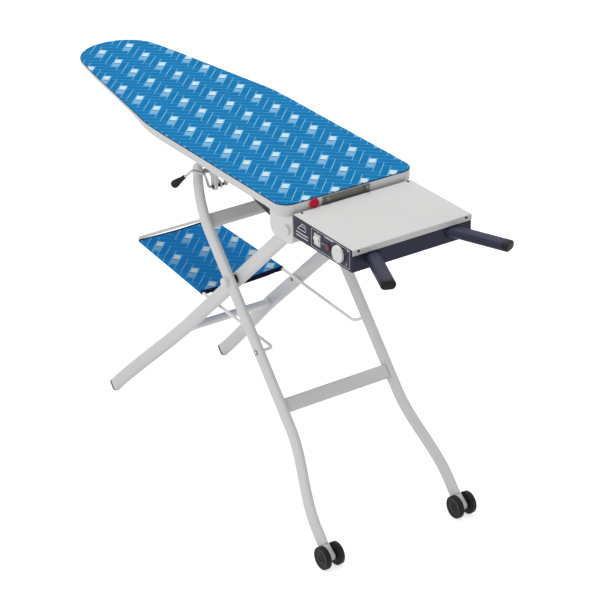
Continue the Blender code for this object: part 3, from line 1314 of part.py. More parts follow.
def make_leg_end(name, side, parent):
    """The black plastic end in an outer leg's tube, with the stub axles of its two wheels."""
    half = TUBE_THICKNESS / 2
    tube_end = AXLE_DISTANCE - LEG_END_TUBE
    inset = 2 * (TUBE_WALL + GAP)
    shoulder = TUBE_WIDTH / 2 - TUBE_THICKNESS / 4
    points = [(GAP * 2 - LEG_END_TUBE, rim * shoulder - AXLE_OFFSET) for rim in (-1, 1)]
    points += [(LEG_END_RADIUS * math.cos(math.radians(turn)), LEG_END_RADIUS * math.sin(math.radians(turn)))
               for turn in range(70, -71, -20)]
    middle = AXLE + ACROSS * side * WHEEL_SPREAD_FLOOR
    fork = bmesh.new()
    add_plate(fork, [middle - ACROSS * half + WHEEL_DOWN * d + WHEEL_ACROSS * a for d, a in points],
              ACROSS, TUBE_THICKNESS)
    end = finish(fork, f"leg_end_{name}", "white_plastic", parent)
    spigot = bmesh.new()
    add_sweep(spigot, [wheel_leg_point(side, tube_end - LEG_END_PLUG), wheel_leg_point(side, tube_end),
                       wheel_leg_point(side, tube_end + LEG_END_PLUG / 2)], WHEEL_ACROSS,
              TUBE_WIDTH - inset, TUBE_THICKNESS - inset)
    combine(end, spigot, "UNION")
    axle = bmesh.new()
    reach = WHEEL_SPACING / 2 + WHEEL_THICKNESS / 2 - WHEEL_EDGE + GAP
    add_turned(axle, middle - ACROSS * (reach + AXLE_HEAD), ACROSS, (
        (0, AXLE_HEAD_RADIUS * 0.8), (AXLE_HEAD, AXLE_HEAD_RADIUS * 0.9), (AXLE_HEAD, AXLE_RADIUS),
        (2 * reach + AXLE_HEAD, AXLE_RADIUS), (2 * reach + AXLE_HEAD, AXLE_HEAD_RADIUS * 0.9),
        (2 * reach + 2 * AXLE_HEAD, AXLE_HEAD_RADIUS * 0.8)), 16)
    return combine(end, axle, "UNION")


def make_wheel(name, side, away):
    """A plastic disc wheel on its stub axle; away is the side of the leg that it is on."""
    centre = AXLE + ACROSS * (side * WHEEL_SPREAD_FLOOR + away * WHEEL_SPACING / 2)
    pivot = joint_empty(f"{name}_axis", centre)
    half = WHEEL_THICKNESS / 2
    hub = WHEEL_SPACING / 2 - half - TUBE_THICKNESS / 2 - GAP * 2
    bm = bmesh.new()
    add_ring(bm, centre, ACROSS * away, (
        (-half - hub, WHEEL_HUB_RADIUS), (-half, WHEEL_HUB_RADIUS), (-half, WHEEL_RADIUS - WHEEL_EDGE),
        (WHEEL_EDGE - half, WHEEL_RADIUS), (half - WHEEL_EDGE, WHEEL_RADIUS), (half, WHEEL_RADIUS - WHEEL_EDGE),
        (half, WHEEL_HUB_RADIUS * 1.6), (half - WHEEL_EDGE, WHEEL_HUB_RADIUS * 1.4),
        (half - WHEEL_EDGE, AXLE_HEAD_RADIUS)), AXLE_RADIUS + GAP, 20)
    return finish(bm, name, "black_plastic", pivot)


def make_scissor_bolt(name, side, parent):
    """The bolt through both legs, its head under a round white cap."""
    out = ACROSS * side
    start = SCISSOR + out * (FEET_LEG_INNER - GAP - SCISSOR_NUT_HEIGHT)
    head = WHEEL_LEG_OUTER - FEET_LEG_INNER + 2 * GAP + SCISSOR_NUT_HEIGHT
    bm = bmesh.new()
    add_turned(bm, start, out, (
        (0, SCISSOR_NUT_RADIUS), (SCISSOR_NUT_HEIGHT, SCISSOR_NUT_RADIUS), (SCISSOR_NUT_HEIGHT, PIN_RADIUS),
        (head, PIN_RADIUS), (head, SCISSOR_CAP_RADIUS),
        (head + SCISSOR_CAP_HEIGHT * 0.75, SCISSOR_CAP_RADIUS * 0.92),
        (head + SCISSOR_CAP_HEIGHT, SCISSOR_CAP_RADIUS * 0.72)), 16)
    return finish(bm, f"scissor_bolt_{name}", "white_plastic", parent)


def make_scissor_spacer(name, side, parent):
    """The black washer between the two legs."""
    bm = bmesh.new()
    add_ring(bm, SCISSOR + ACROSS * side * (FEET_LEG_OUTER + GAP), ACROSS * side, (
        (0, SPACER_RADIUS), (WHEEL_LEG_INNER - FEET_LEG_OUTER - 2 * GAP, SPACER_RADIUS)), PIN_HOLE, 16)
    return finish(bm, f"scissor_spacer_{name}", "black_plastic", parent)


# The laundry shelf

def wire_spread(reach):
    """Half the width between the side wires, at a distance from the pivot."""
    share = max(reach - WIRE_TAPER_START, 0) / (SHELF_LENGTH - WIRE_TAPER_START)
    return WIRE_SPREAD + (WIRE_SPREAD_END - WIRE_SPREAD) * share


def make_shelf_wire(parent):
    """One bent wire: hooked through the outer legs, along both sides and across the end."""
    tips, sides = [], []
    for _, side in SIDES:
        tips.append(SHELF_HINGE + ACROSS * side * (WHEEL_LEG_OUTER + GAP * 4))
        sides.append([SHELF_HINGE + SHELF_OUT * reach + ACROSS * side * wire_spread(reach)
                      for reach in (0, WIRE_TAPER_START, SHELF_LENGTH)])
    near, far = sides
    first = rounded([tips[0], near[0], near[1]], WIRE_SIDE_BEND, 4)
    middle = rounded([near[1], near[2], far[2], far[1]], WIRE_CORNER, 5)[1:-1]
    last = rounded([far[1], far[0], tips[1]], WIRE_SIDE_BEND, 4)
    bm = bmesh.new()
    add_wire(bm, first + middle + last, WIRE_RADIUS, 8)
    return finish(bm, "shelf_wire", "white_paint", parent)


def cloth_section(spread):
    """The cloth across the shelf: a loop round each side wire and a slight sag between them."""
    columns = 8
    loop = WIRE_RADIUS + GAP * 2
    skin = loop + CLOTH_THICKNESS
    mouth = -spread + loop * 4
    outer = arc((-spread, 0), skin, 90, 270, 5)
    inner = arc((-spread, 0), loop, 90, 270, 5)
    across = [-spread + 2 * spread * column / columns for column in range(1, columns)]
    sags = [CLOTH_SAG * (1 - (y / spread) ** 2) for y in across]
    section = [(mouth, -skin)] + outer[::-1]
    section += [(y, skin - sag) for y, sag in zip(across, sags)]
    section += [(-y, z) for y, z in outer] + [(-mouth, -skin), (-mouth, -loop)]
    section += [(-y, z) for y, z in inner[::-1]]
    section += [(-y, loop - sag) for y, sag in zip(across, sags)]
    return section + inner + [(mouth, -loop)]


def make_shelf_cloth(parent):
    """The blue cloth, folded round the side wires."""
    bm = bmesh.new()
    rings = []
    for reach in (CLOTH_START, (CLOTH_START + CLOTH_END) / 2, CLOTH_END):
        middle = SHELF_HINGE + SHELF_OUT * reach
        rings.append([middle + ACROSS * y + SHELF_UP * z for y, z in cloth_section(wire_spread(reach))])
    add_loft(bm, rings)
    return finish(bm, "shelf_cloth", "cover_fabric", parent)


# Rails, latch and lever under the board

def make_height_rail(name, side):
    """A steel angle under the tray, which follows it, with a row of holes for the latch."""
    start = SLIDE.x + RAIL_AHEAD
    y = side * RAIL_Y
    rings = []
    for x in tray_stations(start, start - RAIL_LENGTH):
        top = under_tray(x)
        profile = ((y, RAIL_BOTTOM), (y + side * RAIL_THICKNESS, RAIL_BOTTOM), (y + side * RAIL_THICKNESS, top),
                   (y - side * RAIL_FLANGE, top), (y - side * RAIL_FLANGE, top - RAIL_THICKNESS),
                   (y, top - RAIL_THICKNESS))
        rings.append([(x, across, z) for across, z in profile])
    bm = bmesh.new()
    add_loft(bm, rings)
    rail = finish(bm, f"height_rail_{name}", "zinc_steel", smooth=False)
    tools = bmesh.new()
    pitch = RAIL_LENGTH / RAIL_HOLES
    for hole in range(RAIL_HOLES):
        place = (start - pitch * (hole + 0.5), y - CUT, RAIL_BOTTOM + RAIL_HOLE_RADIUS * 2)
        add_rod(tools, place, ACROSS, 2 * CUT, RAIL_HOLE_RADIUS, 10)
    return combine(rail, tools)


def ear_outline(middle, top, top_length, radius):
    """A hanging ear: wide at the top, round at the bottom about the axle."""
    points = [(middle.x - top_length / 2, top), (middle.x - radius, middle.z)]
    points += [(middle.x + a, middle.z + b) for a, b in arc((0, 0), radius, 180, 360, 8)][1:]
    points += [(middle.x + top_length / 2, top)]
    return points


def make_latch_bracket():
    """The light bracket under the tray with the ear and the small clip that hold the lever's axle."""
    top = TRAY_UNDERSIDE - GAP
    ears = ((LATCH_EAR_Y, LATCH_EAR_THICKNESS, LATCH_EAR_TOP_LENGTH, LATCH_EAR_RADIUS),
            (AXLE_CLIP_Y, AXLE_CLIP_THICKNESS, AXLE_CLIP_LENGTH, AXLE_CLIP_LENGTH / 2))
    plate = bmesh.new()
    add_box(plate, (LATCH.x - LATCH_EAR_TOP_LENGTH / 2, -LATCH_EAR_Y - LATCH_EAR_THICKNESS / 2, top - BRACKET_WEB),
            (LATCH.x + LATCH_EAR_TOP_LENGTH / 2, -AXLE_CLIP_Y + AXLE_CLIP_THICKNESS / 2, top))
    bracket = finish(plate, "latch_bracket", "white_plastic", smooth=False)
    for y, thickness, length, radius in ears:
        ear = bmesh.new()
        add_plate(ear, [(x, -y - thickness / 2, z) for x, z in ear_outline(LATCH, top - GAP, length, radius)],
                  ACROSS, thickness)
        combine(bracket, ear, "UNION")
    drill = bmesh.new()
    add_rod(drill, LATCH - ACROSS * (LATCH_EAR_Y + CUT), ACROSS, LATCH_EAR_Y - AXLE_CLIP_Y + 2 * CUT,
            LEVER_RADIUS + PIN_CLEARANCE, 16)
    return combine(bracket, drill)


def lever_route():
    """The lever's rod: along the axle, up over the leg, out past it and down to the grip."""
    elbow = LATCH - ACROSS * LEVER_ELBOW
    route = [LATCH - ACROSS * (AXLE_CLIP_Y - AXLE_CLIP_THICKNESS), elbow]
    for forward, out, up in LEVER_ROUTE_SHARES:
        route.append(elbow + Vector((forward * LEVER_RISE, -out * LEVER_REACH, up * LEVER_RISE)))
    return route


def make_lever(parent):
    """The bent rod of the height lever and its black teardrop grip."""
    route = lever_route()
    bm = bmesh.new()
    add_wire(bm, rounded(route, LEVER_BEND), LEVER_RADIUS, 8)
    finish(bm, "lever_rod", "zinc_steel", parent)
    grip = bmesh.new()
    away = (route[-1] - route[-2]).normalized()
    add_turned(grip, route[-1] + away * GAP, away, (
        (0, GRIP_NECK_RADIUS), (GRIP_LENGTH * 0.25, GRIP_NECK_RADIUS), (GRIP_LENGTH * 0.55, GRIP_RADIUS * 0.86),
        (GRIP_LENGTH * 0.8, GRIP_RADIUS), (GRIP_LENGTH * 0.94, GRIP_RADIUS * 0.8),
        (GRIP_LENGTH, GRIP_RADIUS * 0.4)), 16)
    return finish(grip, "lever_grip", "black_plastic", parent)


def make_pawl(parent):
    """The latch pawl on the lever's axle, reaching over the slide bar."""
    reach = LATCH.x - SLIDE.x
    rise = SLIDE.z - LATCH.z
    half = PAWL_WIDTH / 2
    seat = SLIDE_BAR_RADIUS + PLAY
    points = [(half, -half), (half, half)]
    points += arc((-reach, rise), seat + PAWL_THICKNESS, 60, 110, 3)
    points += arc((-reach, rise), seat, 110, -30, 6)
    points += [(-reach + half * 2, rise - half * 1.6)]
    bm = bmesh.new()
    add_plate(bm, [(LATCH.x + a, -PAWL_Y - PAWL_THICKNESS / 2, LATCH.z + b) for a, b in points],
              ACROSS, PAWL_THICKNESS)
    pawl = finish(bm, "latch_pawl", "zinc_steel", parent, smooth=False)
    drill = bmesh.new()
    add_rod(drill, (LATCH.x, -PAWL_Y - CUT, LATCH.z), ACROSS, 2 * CUT, LEVER_RADIUS + GAP, 16)
    return combine(pawl, drill)


# Put the table together

make_board_tray()
make_top_plate()
make_pad()
make_cover()
make_heater()
make_blower_housing()
make_outlet_grille()
make_fan_motor()
make_fan_wheel()
make_rest_housing()
make_rest_lid()
make_control_panel()
make_switch_body()
make_rocker()
make_pilot_lamp()
make_knob()
make_thermostat()
make_mains_inlet()
make_push_button()
make_end_plate()
make_rest_carrier()
make_arm_guide()
make_latch_bracket()

feet_frame = joint_empty("leg_hinge_axis", HINGE)
wheel_frame = joint_empty("scissor_axis", SCISSOR)
shelf = joint_empty("shelf_axis", SHELF_HINGE)
lever = joint_empty("lever_axis", LATCH)
for side_name, side_sign in SIDES:
    make_support_arm(side_name, side_sign)
    make_height_rail(side_name, side_sign)
    make_hinge_bracket(side_name, side_sign)
    make_hinge_pin(side_name, side_sign)
    make_feet_leg(side_name, side_sign, feet_frame)
    make_knuckle(side_name, side_sign, feet_frame)
    make_foot_cap(side_name, side_sign, feet_frame)
    make_scissor_bolt(side_name, side_sign, feet_frame)
    make_scissor_spacer(side_name, side_sign, feet_frame)
    make_wheel_leg(side_name, side_sign, wheel_frame)
    make_leg_end(side_name, side_sign, wheel_frame)
    make_wheel(f"wheel_{side_name}_outer", side_sign, side_sign)
    make_wheel(f"wheel_{side_name}_inner", side_sign, -side_sign)
make_feet_crossbar(feet_frame)
make_wheel_crossbar("upper_crossbar", -UPPER_BAR, wheel_frame)
make_wheel_crossbar("lower_crossbar", LOWER_BAR, wheel_frame)
make_slide_bar(wheel_frame)
make_shelf_wire(shelf)
make_shelf_cloth(shelf)
make_lever(lever)
make_pawl(lever)
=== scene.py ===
# %% [markdown]
# # A folding vacuum ironing table, dressed for its portrait
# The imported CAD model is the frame: it holds every size, every joint and the places of all pieces.
# This lesson lays smooth, finished pieces over it and never moves the frame itself. Reading the
# frame first means that each new piece can ask where its place is, so nothing has to be fitted by eye.

import math

import bmesh
import bpy
from mathutils import Matrix, Vector, noise


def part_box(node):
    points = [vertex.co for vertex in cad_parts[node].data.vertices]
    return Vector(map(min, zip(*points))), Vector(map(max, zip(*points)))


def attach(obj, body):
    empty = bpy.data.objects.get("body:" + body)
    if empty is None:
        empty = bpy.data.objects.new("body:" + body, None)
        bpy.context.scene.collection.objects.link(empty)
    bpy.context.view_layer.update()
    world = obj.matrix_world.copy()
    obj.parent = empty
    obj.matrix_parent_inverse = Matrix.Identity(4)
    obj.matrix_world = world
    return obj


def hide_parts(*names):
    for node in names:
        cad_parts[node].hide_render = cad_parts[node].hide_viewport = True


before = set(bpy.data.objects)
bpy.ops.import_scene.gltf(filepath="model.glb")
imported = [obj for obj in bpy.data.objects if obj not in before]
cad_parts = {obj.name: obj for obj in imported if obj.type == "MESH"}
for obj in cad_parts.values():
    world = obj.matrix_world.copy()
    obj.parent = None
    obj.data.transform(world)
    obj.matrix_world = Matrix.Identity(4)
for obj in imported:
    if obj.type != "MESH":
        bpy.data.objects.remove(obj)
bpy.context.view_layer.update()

# %% [markdown]
# ## The camera
# A catalogue photograph is taken from far away with a long lens, so that far legs look as large as
# near ones. The camera is placed by the direction it looks from: an azimuth round the table and an
# elevation above the horizon. Building its axes from those two angles keeps them readable, which a
# tracking constraint on an empty would hide.

# %% Camera
CAMERA_PLACE = Vector((4.6459, -3.0780, 3.2890))
CAMERA_AZIMUTH = math.radians(55.66)
CAMERA_ELEVATION = math.radians(27.24)
CAMERA_ROLL = math.radians(-0.32)
CAMERA_LENS = 145.3
CAMERA_SHIFT = (0.0104, 0.0016)


def make_camera():
    """A long lens looking down on the table's near side from its wide end."""
    turn, rise = CAMERA_AZIMUTH, CAMERA_ELEVATION
    right = Vector((math.cos(turn), math.sin(turn), 0))
    back = Vector((math.sin(turn) * math.cos(rise), -math.cos(turn) * math.cos(rise), math.sin(rise)))
    axes = Matrix((right, back.cross(right), back)).transposed()
    camera = bpy.data.objects.new("camera", bpy.data.cameras.new("camera"))
    turned = (axes @ Matrix.Rotation(CAMERA_ROLL, 3, "Z")).to_4x4()
    camera.matrix_world = Matrix.Translation(CAMERA_PLACE) @ turned
    camera.data.lens = CAMERA_LENS
    camera.data.shift_x, camera.data.shift_y = CAMERA_SHIFT
    bpy.context.collection.objects.link(camera)
    bpy.context.scene.camera = camera
    return camera


camera = make_camera()
print("camera at", [round(value, 3) for value in camera.location])

# %% [markdown]
# ## Light and floor
# The photograph is a cut-out on white. Turning the lamps up until the floor burns out would also
# bleach the table, so the lamps stay at a plain level and only the floor and the world answer the
# camera with white, through the Light Path node. The floor's own shading is kept under that white,
# so a soft contact shadow still shows where the wheels and feet stand.

# %% White world
bpy.context.scene.view_settings.view_transform = "Standard"
WORLD_LEVEL = 0.62


def seen_plainly(tree):
    """A socket that is 1 for camera, glossy and transmission rays and 0 for light."""
    path = tree.nodes.new("ShaderNodeLightPath")
    total = path.outputs["Is Camera Ray"]
    for name in ("Is Glossy Ray", "Is Transmission Ray"):
        join = tree.nodes.new("ShaderNodeMath")
        join.operation = "MAXIMUM"
        tree.links.new(total, join.inputs[0])
        tree.links.new(path.outputs[name], join.inputs[1])
        total = join.outputs[0]
    return total


def make_world():
    """A white world that lights the scene more softly than it looks."""
    world = bpy.data.worlds.new("studio")
    world.use_nodes = True
    tree = world.node_tree
    shader = tree.nodes["Background"]
    shader.inputs["Color"].default_value = (1, 1, 1, 1)
    level = tree.nodes.new("ShaderNodeMapRange")
    level.inputs["To Min"].default_value = WORLD_LEVEL
    level.inputs["To Max"].default_value = 1.0
    tree.links.new(seen_plainly(tree), level.inputs["Value"])
    tree.links.new(level.outputs[0], shader.inputs["Strength"])
    bpy.context.scene.world = world


make_world()
print("the world looks white and lights at", WORLD_LEVEL)

# %% Floor
FLOOR_SIZE = 40.0
FLOOR_GLOW = 0.62
FLOOR_COLOUR = (0.80, 0.80, 0.80, 1)


def make_floor():
    """A pale floor that glows a little for the camera, under its real shading."""
    bm = bmesh.new()
    bmesh.ops.create_grid(bm, x_segments=1, y_segments=1, size=FLOOR_SIZE / 2)
    mesh = bpy.data.meshes.new("floor")
    bm.to_mesh(mesh)
    bm.free()
    floor = bpy.data.objects.new("floor", mesh)
    bpy.context.collection.objects.link(floor)
    skin = bpy.data.materials.new("floor_white")
    skin.use_nodes = True
    tree = skin.node_tree
    shader = tree.nodes["Principled BSDF"]
    shader.inputs["Base Color"].default_value = FLOOR_COLOUR
    shader.inputs["Roughness"].default_value = 0.9
    shader.inputs["Emission Color"].default_value = (1, 1, 1, 1)
    glow = tree.nodes.new("ShaderNodeMath")
    glow.operation = "MULTIPLY"
    glow.inputs[1].default_value = FLOOR_GLOW
    tree.links.new(seen_plainly(tree), glow.inputs[0])
    tree.links.new(glow.outputs[0], shader.inputs["Emission Strength"])
    mesh.materials.append(skin)


make_floor()
print("floor:", FLOOR_SIZE, "m each way")

# %% Lamps
BOARD_MIDDLE = (-0.1, 0, 0.8)
SOFT_BOXES = (       # name, place, size in metres, power in watts
    ("overhead", (-0.6, 0.3, 3.4), 2.2, 34),
    ("left_of_camera", (0.8, -3.2, 2.2), 1.8, 24),
)


def make_lamp(name, place, aim, size, power):
    """A square soft box."""
    lamp = bpy.data.objects.new(name, bpy.data.lights.new(name, "AREA"))
    lamp.data.shape = "SQUARE"
    lamp.data.size = size
    lamp.data.energy = power
    lamp.location = place
    lamp.rotation_mode = "QUATERNION"
    lamp.rotation_quaternion = (Vector(aim) - Vector(place)).to_track_quat("-Z", "Y")
    bpy.context.collection.objects.link(lamp)


for name, place, size, power in SOFT_BOXES:
    make_lamp(name, place, BOARD_MIDDLE, size, power)
print("lamps:", ", ".join(name for name, *_ in SOFT_BOXES))

# %% [markdown]
# ## Finishes
# Every finish is a small node tree on the Principled shader. Real paint and plastic are never one
# flat value: a broad noise shifts the colour a little, a fine noise breaks up the gloss, and the
# same fine noise drives a bump. The noise is read in object coordinates, in metres, so its grain has
# a true size and sticks to the piece when it moves. Image textures would do the same work, but they
# would need unwrapping and files on disk.

# %% Node helpers
def ink(red, green, blue):
    """A colour from 0 to 255 as the linear values that shaders take."""
    def linear(value):
        value /= 255
        return value / 12.92 if value <= 0.04045 else ((value + 0.055) / 1.055) ** 2.4
    return (linear(red), linear(green), linear(blue), 1)


def feed(tree, socket, value):
    """Link a socket's value, or set it where it is a plain one."""
    if isinstance(value, bpy.types.NodeSocket):
        tree.links.new(value, socket)
    else:
        socket.default_value = value


def maths(tree, operation, first, second=0.0):
    """One step of arithmetic on the surface."""
    step = tree.nodes.new("ShaderNodeMath")
    step.operation = operation
    feed(tree, step.inputs[0], first)
    feed(tree, step.inputs[1], second)
    return step.outputs[0]


print("a middle grey of 128 is", round(ink(128, 128, 128)[0], 3), "in linear light")


# %% Pattern helpers
def grain(tree, scale, detail=3.0, stretch=(1, 1, 1)):
    """Noise in object coordinates; the scale is in bumps a metre."""
    coords = tree.nodes.new("ShaderNodeTexCoord")
    mapping = tree.nodes.new("ShaderNodeMapping")
    mapping.inputs["Scale"].default_value = stretch
    tree.links.new(coords.outputs["Object"], mapping.inputs["Vector"])
    pattern = tree.nodes.new("ShaderNodeTexNoise")
    pattern.inputs["Scale"].default_value = scale
    pattern.inputs["Detail"].default_value = detail
    tree.links.new(mapping.outputs[0], pattern.inputs["Vector"])
    return pattern.outputs["Fac"]


def blend_colours(tree, share, low, high):
    """Mix two colours by a share."""
    mix = tree.nodes.new("ShaderNodeMix")
    mix.data_type = "RGBA"
    feed(tree, mix.inputs[0], share)
    feed(tree, mix.inputs[6], low)
    feed(tree, mix.inputs[7], high)
    return mix.outputs[2]


def ramp(tree, value, low, high, start=0.0, end=1.0):
    """Carry a value from one range to another, without running past its ends."""
    change = tree.nodes.new("ShaderNodeMapRange")
    feed(tree, change.inputs["Value"], value)
    for name, number in (("From Min", start), ("From Max", end), ("To Min", low), ("To Max", high)):
        change.inputs[name].default_value = number
    return change.outputs[0]


def shade(colour, factor):
    """A lighter or darker version of a linear colour."""
    return tuple(min(channel * factor, 1) for channel in colour[:3]) + (1,)


def bump(tree, shader, height, depth):
    """Raise the surface by a height pattern, in metres."""
    relief = tree.nodes.new("ShaderNodeBump")
    relief.inputs["Distance"].default_value = depth
    tree.links.new(height, relief.inputs["Height"])
    tree.links.new(relief.outputs[0], shader.inputs["Normal"])


print("a grey at twice its light:", shade((0.2, 0.2, 0.2), 2))

# %% Plain finishes
BROAD_SCALE = 9.0        # the colour's slow drift, in bumps a metre


def make_finish(name, colour, roughness, grain_scale, grain_depth, metallic=0.0, mottle=0.05,
                worn=1.25, stretch=(1, 1, 1), gloss=0.5):
    """Paint, moulded plastic or metal: mottled colour, worn edges, broken gloss and a fine grain."""
    skin = bpy.data.materials.new(name)
    skin.use_nodes = True
    tree = skin.node_tree
    shader = tree.nodes["Principled BSDF"]
    shader.inputs["Metallic"].default_value = metallic
    shader.inputs["Specular IOR Level"].default_value = gloss
    broad = grain(tree, BROAD_SCALE, 4.0)
    base = blend_colours(tree, broad, shade(colour, 1 - mottle), shade(colour, 1 + mottle))
    edge = tree.nodes.new("ShaderNodeNewGeometry").outputs["Pointiness"]
    fine = grain(tree, grain_scale, 2.0, stretch)
    worn_edge = ramp(tree, edge, 0.0, 0.7, 0.52, 0.60)
    in_patches = ramp(tree, broad, 0.2, 1.0, 0.4, 0.7)
    rub = maths(tree, "MULTIPLY", worn_edge, in_patches)
    feed(tree, shader.inputs["Base Color"], blend_colours(tree, rub, base, shade(colour, worn)))
    dull = ramp(tree, fine, roughness - 0.06, roughness + 0.08, 0.3, 0.7)
    feed(tree, shader.inputs["Roughness"], dull)
    bump(tree, shader, fine, grain_depth)
    return skin


FINISHES = {
    "white_paint": make_finish("white_paint", ink(214, 214, 215), 0.36, 900, 0.00005,
                               worn=1.06, mottle=0.015),
    # A lighter copy of the white paint, for the shelf wire only: painted light, lifting the wire out of the
    # shade under the board.
    "wire_white_painted_light": make_finish("wire_white_painted_light", ink(244, 244, 243), 0.30, 900, 0.00003,
                              worn=1.02, mottle=0.01),
    "white_plastic": make_finish("white_plastic", ink(224, 224, 223), 0.42, 1400, 0.00004,
                                 worn=1.05, mottle=0.01),
    "navy_paint": make_finish("navy_paint", ink(36, 37, 60), 0.42, 1000, 0.00005,
                              worn=1.4, gloss=0.2),
    "grey_paint": make_finish("grey_paint", ink(206, 206, 205), 0.40, 1000, 0.00004,
                              worn=1.06, mottle=0.02),
    "dark_plastic": make_finish("dark_plastic", ink(40, 40, 43), 0.50, 1200, 0.00006,
                                worn=1.4, gloss=0.2),
    "black_plastic": make_finish("black_plastic", ink(24, 24, 26), 0.50, 1200, 0.00006,
                                 worn=1.5, gloss=0.2),
    "red_plastic": make_finish("red_plastic", ink(184, 8, 48), 0.30, 1600, 0.00002,
                               worn=1.15, gloss=0.2),
    "lamp_lens": make_finish("lamp_lens", ink(104, 14, 36), 0.22, 1600, 0.00002,
                             worn=1.1, gloss=0.3),
    "zinc_steel": make_finish("zinc_steel", ink(176, 177, 179), 0.34, 500, 0.00003,
                              metallic=1.0, worn=1.1, stretch=(0.15, 1, 1)),
    "pale_zinc": make_finish("pale_zinc", ink(214, 215, 216), 0.45, 700, 0.00003,
                             metallic=0.1, worn=1.05),
    "dull_steel": make_finish("dull_steel", ink(128, 128, 124), 0.50, 500, 0.00004,
                              metallic=0.7, worn=1.15, mottle=0.12, stretch=(1, 0.1, 1), gloss=0.3),
    "pad_felt": make_finish("pad_felt", ink(214, 209, 196), 0.92, 700, 0.0006,
                            worn=1.02, mottle=0.08),
}
print("finishes:", ", ".join(FINISHES))

# %% [markdown]
# ## The printed cover fabric
# The cover is blue cotton with a herringbone of narrow bricks in fine pale lines, and every few
# bricks a pair of pale squares. Such a print can be drawn in one image, but a rule does it sharper:
# turn the plane by 45 degrees, number the cells, and each cell's number says which brick it is in
# and how far along. The distance to that brick's edge gives the line. The laundry shelf's sheet is
# the same cotton, given a lighter blue as painted light against the shade it lies in under the board.

# %% The print's measures
PRINTS = {       # a cell's corner on the cloth, then a cell's diagonals along and across
    "cover_fabric": ((0.0180, -0.0329), (0.02794, 0.02855)),
    "shelf_fabric": ((-0.2209, -0.0771), (0.0285, 0.0305)),
}
BRICK_CELLS = 3
LINE_HALF_WIDTH = 0.046       # in cells
# The shelf's blue is the cover's cotton lightened: painted light against the shade under the board.
FABRIC_BLUE_AND_SHELF_LIGHT = {"cover_fabric": ink(2, 117, 176), "shelf_fabric": ink(0, 126, 204)}
LINE_BRIGHT = ink(136, 204, 240)
LINE_DIM = ink(74, 164, 220)
SQUARE_BRIGHT = ink(204, 228, 238)
SQUARE_DIM = ink(126, 178, 218)
SQUARE_ACROSS = (0.08, 0.92)  # the squares' bounds on their brick, in cells
BRIGHT_ALONG, DIM_ALONG = (1.60, 2.84), (0.20, 1.38)
for name, (origin, steps) in PRINTS.items():
    print(name, "repeats every", [round(BRICK_CELLS * step, 3) for step in steps], "m")


# %% Herringbone
def inside(tree, value, low, high):
    """1 where a value lies between two bounds."""
    above = maths(tree, "GREATER_THAN", value, low)
    return maths(tree, "MULTIPLY", above, maths(tree, "LESS_THAN", value, high))


def herringbone(tree, coords, blue, origin, steps):
    """The print's colour at a position on the cloth, in metres."""
    place = tree.nodes.new("ShaderNodeSeparateXYZ")
    tree.links.new(coords, place.inputs[0])
    p = maths(tree, "DIVIDE", maths(tree, "SUBTRACT", place.outputs["X"], origin[0]), steps[0])
    q = maths(tree, "DIVIDE", maths(tree, "SUBTRACT", place.outputs["Y"], origin[1]), steps[1])
    u = maths(tree, "ADD", p, q)
    v = maths(tree, "SUBTRACT", q, p)
    cell_u = maths(tree, "FLOOR", u)
    cell_v = maths(tree, "FLOOR", v)
    rest_u = maths(tree, "SUBTRACT", u, cell_u)
    rest_v = maths(tree, "SUBTRACT", v, cell_v)
    step = maths(tree, "FLOORED_MODULO", maths(tree, "ADD", cell_u, cell_v), 2 * BRICK_CELLS)
    steep = maths(tree, "GREATER_THAN", step, BRICK_CELLS - 0.5)

    def pick(flat, upright):
        """One value on the flat bricks, another on the steep ones."""
        lifted = maths(tree, "MULTIPLY", steep, maths(tree, "SUBTRACT", upright, flat))
        return maths(tree, "ADD", flat, lifted)

    past = maths(tree, "SUBTRACT", step, BRICK_CELLS)
    along = pick(maths(tree, "ADD", step, rest_u), maths(tree, "ADD", past, rest_v))
    across = pick(rest_v, rest_u)
    far_side = maths(tree, "SUBTRACT", 1, across)
    far_end = maths(tree, "SUBTRACT", BRICK_CELLS, along)
    side_line = maths(tree, "LESS_THAN", maths(tree, "MINIMUM", across, far_side), LINE_HALF_WIDTH)
    end_line = maths(tree, "LESS_THAN", maths(tree, "MINIMUM", along, far_end), LINE_HALF_WIDTH)
    line = maths(tree, "MAXIMUM", side_line, end_line)
    bright_line = maths(tree, "MULTIPLY", side_line, steep)
    column = maths(tree, "FLOORED_MODULO", cell_u, BRICK_CELLS)
    marked = maths(tree, "MULTIPLY", steep, maths(tree, "LESS_THAN", column, 0.5))
    marked = maths(tree, "MULTIPLY", marked, inside(tree, across, *SQUARE_ACROSS))
    bright = maths(tree, "MULTIPLY", marked, inside(tree, along, *BRIGHT_ALONG))
    dim = maths(tree, "MULTIPLY", marked, inside(tree, along, *DIM_ALONG))
    tone = blend_colours(tree, grain(tree, 6.0, 3.0), shade(blue, 0.93), shade(blue, 1.07))
    tone = blend_colours(tree, line, tone, LINE_DIM)
    tone = blend_colours(tree, bright_line, tone, LINE_BRIGHT)
    tone = blend_colours(tree, dim, tone, SQUARE_DIM)
    return blend_colours(tree, bright, tone, SQUARE_BRIGHT)


print("the herringbone turns after", BRICK_CELLS, "cells")

# %% Woven fabric
WEAVE_SCALE = 1100 / math.tau     # on the wave's own scale; its bands are 1.8 mm apart
WEAVE_DEPTH = 0.00010


